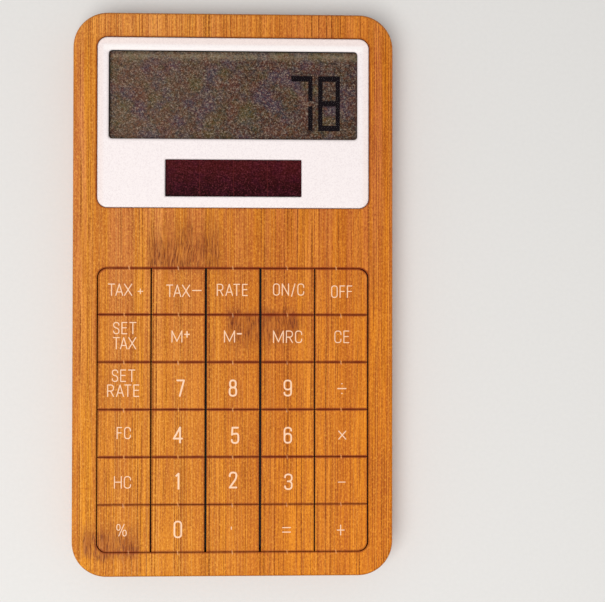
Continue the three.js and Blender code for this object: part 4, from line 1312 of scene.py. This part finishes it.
def legend_piece(name):
    """Printed legend of a key: strokes a hundredth of a millimetre or two proud of its face."""
    skin = Skin()
    x, y = cad_middle("key_" + name)
    for text, across, up, width, height, pen in LEGENDS[name]:
        print_line(skin, text, x + across, y + up, width, height, pen, KEY_FACE - INK_ROOT, FACE)
    return skin.piece("legend_" + name, INK, "key_" + name, "white_plastic", welded=True)


# Digits on the LCD: each segment is a four-sided slab, given by its corners in the digit's box
DIGIT_WIDTH = 6.9
DIGIT_HEIGHT = 17.4
DIGIT_PITCH = 8.65
UPRIGHT = 1.4
LEVEL_BAR = 1.75
BEVEL = 0.3
FOOT_BEVEL = 0.1
SEGMENT_THICKNESS = 0.03
LAST_DIGIT_LEFT = 26.6
DIGIT_BOTTOM = 51.6
SEVEN = ["top", "upper_right", "lower_right"]
EIGHT = ["top", "middle", "bottom", "upper_left", "upper_right", "lower_left", "lower_right"]


def segment_corners():
    """Corners of the seven segments: level bars across the whole digit, and uprights from its end
    to the middle bar. The free ends of both are a little bevelled on the inner side."""
    w, h, u, b = DIGIT_WIDTH, DIGIT_HEIGHT, UPRIGHT, LEVEL_BAR
    foot = (h + b) / 2
    bar = np.array([(0, h), (w, h), (w - BEVEL, h - b), (BEVEL, h - b)])
    upright = np.array([(w, h), (w, foot - FOOT_BEVEL), (w - u, foot), (w - u, h - BEVEL)])

    def mirrored(points, across, up):
        return np.where([across, up], (w, h) - points, points)

    return {
        "top": bar,
        "middle": np.array([(0, foot), (w, foot), (w, h - foot), (0, h - foot)]),
        "bottom": mirrored(bar, False, True),
        "upper_right": upright,
        "upper_left": mirrored(upright, True, False),
        "lower_right": mirrored(upright, False, True),
        "lower_left": mirrored(upright, True, True),
    }


def digits_piece():
    """The number on the display, 78, as thin slabs on the LCD's upper glass."""
    skin = Skin()
    corners = segment_corners()
    for number, segments in enumerate([EIGHT, SEVEN]):
        start = np.array([LAST_DIGIT_LEFT - number * DIGIT_PITCH, DIGIT_BOTTOM])
        for segment in segments:
            outline = (start + corners[segment], np.zeros(4))
            is_upright = segment.endswith(("left", "right"))
            top = LENS_UNDER + SEGMENT_THICKNESS - INK_STEP * is_upright
            for ring in skin.tube(outline, LENS_UNDER, top):
                skin.flat(ring)
    return skin.piece("lcd_digits", lcd_black(), "case", "black_epoxy")


shell_piece()
cover_piece()
door_piece()
bezel_piece()
lens_piece()
digits_piece()
sheet_piece()
for row, names in enumerate(KEY_NAMES):
    for column, name in enumerate(names):
        key_piece(name, KEYS[name], row, column)
        legend_piece(name)
        dome_piece(name)
for number in range(1, 5):
    foot_piece(number)
    screw_piece(f"case_screw_{number}", CASE_SCREW)
screw_piece("door_screw", DOOR_SCREW)

# CAD nodes that keep their shape
KEPT = {
    "lcd_panel": lcd_glass(),
    "solar_cell": solar_glass(),
    "lcd_reflector": brushed("reflector_foil", tone(130, 130, 124), tone(176, 175, 168), 0.3),
    "lcd_tray": BLACK_PLASTIC,
    "key_frame": BLACK_PLASTIC,
    "battery_holder": BLACK_PLASTIC,
    "zebra_connector": moulded("zebra_rubber", tone(176, 168, 156), tone(202, 196, 184), 0.75, 1.2),
    "circuit_board": circuit_green(),
    "controller_chip": moulded("black_epoxy", tone(10, 10, 10), tone(26, 26, 27), 0.3, 0.8, 0.05),
    "capacitor": moulded("capacitor_sleeve", tone(24, 36, 68), tone(38, 54, 92), 0.35, 1.0, 0.02),
    "solar_lead_plus": moulded("red_wire", tone(150, 22, 18), tone(178, 40, 32), 0.45, 1.5, 0.01),
    "solar_lead_minus": moulded("black_wire", tone(16, 16, 16), tone(34, 34, 34), 0.45, 1.5, 0.01),
    "button_cell": CELL_STEEL,
    "contact_plus": NICKEL,
    "contact_minus": NICKEL,
}
for node, material in KEPT.items():
    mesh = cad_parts[node].data
    mesh.materials.clear()
    mesh.materials.append(material)


# Floor, light and camera
FLOOR_HALF = 3000.0
DAYLIGHT = 0.41
LAMP_PLACE = (-170, -260, 850)
LAMP_SIZE = 600
LAMP_POWER = 6.45
CAMERA_PLACE = (10.49, -5.72, 350.0)
CAMERA_TILT = (0.617, -1.902, 0.086)
CAMERA_LENS = 64.1


def floor_piece():
    """The floor, a wide square under the feet."""
    corners = np.column_stack([CORNER_SIGNS, np.zeros(4)]) * FLOOR_HALF * MM
    mesh = bpy.data.meshes.new("floor")
    mesh.from_pydata(corners.tolist(), [], [(0, 1, 2, 3)])
    mesh.materials.append(stage_paper())
    floor = bpy.data.objects.new("floor", mesh)
    bpy.context.scene.collection.objects.link(floor)


def window_light():
    """A square lamp that faces the middle of the calculator."""
    data = bpy.data.lights.new("window_light", "AREA")
    data.shape = "SQUARE"
    data.size = LAMP_SIZE * MM
    data.energy = LAMP_POWER
    lamp = bpy.data.objects.new("window_light", data)
    lamp.location = Vector(LAMP_PLACE) * MM
    lamp.rotation_euler = (-lamp.location).to_track_quat("-Z", "Y").to_euler()
    bpy.context.scene.collection.objects.link(lamp)


def daylight():
    """Even light from all round, which is seen directly in the colour of the far floor."""
    world = bpy.data.worlds.new("daylight")
    world.use_nodes = True
    tree = world.node_tree
    color = tree.nodes.new("ShaderNodeMix")
    color.data_type = "RGBA"
    color.inputs[6].default_value = (DAYLIGHT, DAYLIGHT, DAYLIGHT, 1)
    color.inputs[7].default_value = BACKDROP
    tree.links.new(seen_directly(tree), color.inputs[0])
    tree.links.new(color.outputs[2], tree.nodes["Background"].inputs["Color"])
    bpy.context.scene.world = world


def photo_camera():
    """Camera straight above, a little to the right of the body, as the photo was taken."""
    data = bpy.data.cameras.new("photo_camera")
    data.sensor_width = 36.0
    data.lens = CAMERA_LENS
    data.clip_start = 0.01
    camera = bpy.data.objects.new("photo_camera", data)
    camera.location = Vector(CAMERA_PLACE) * MM
    camera.rotation_euler = np.radians(CAMERA_TILT)
    bpy.context.scene.collection.objects.link(camera)
    bpy.context.scene.camera = camera


floor_piece()
daylight()
window_light()
photo_camera()
bpy.context.scene.view_settings.view_transform = "Standard"
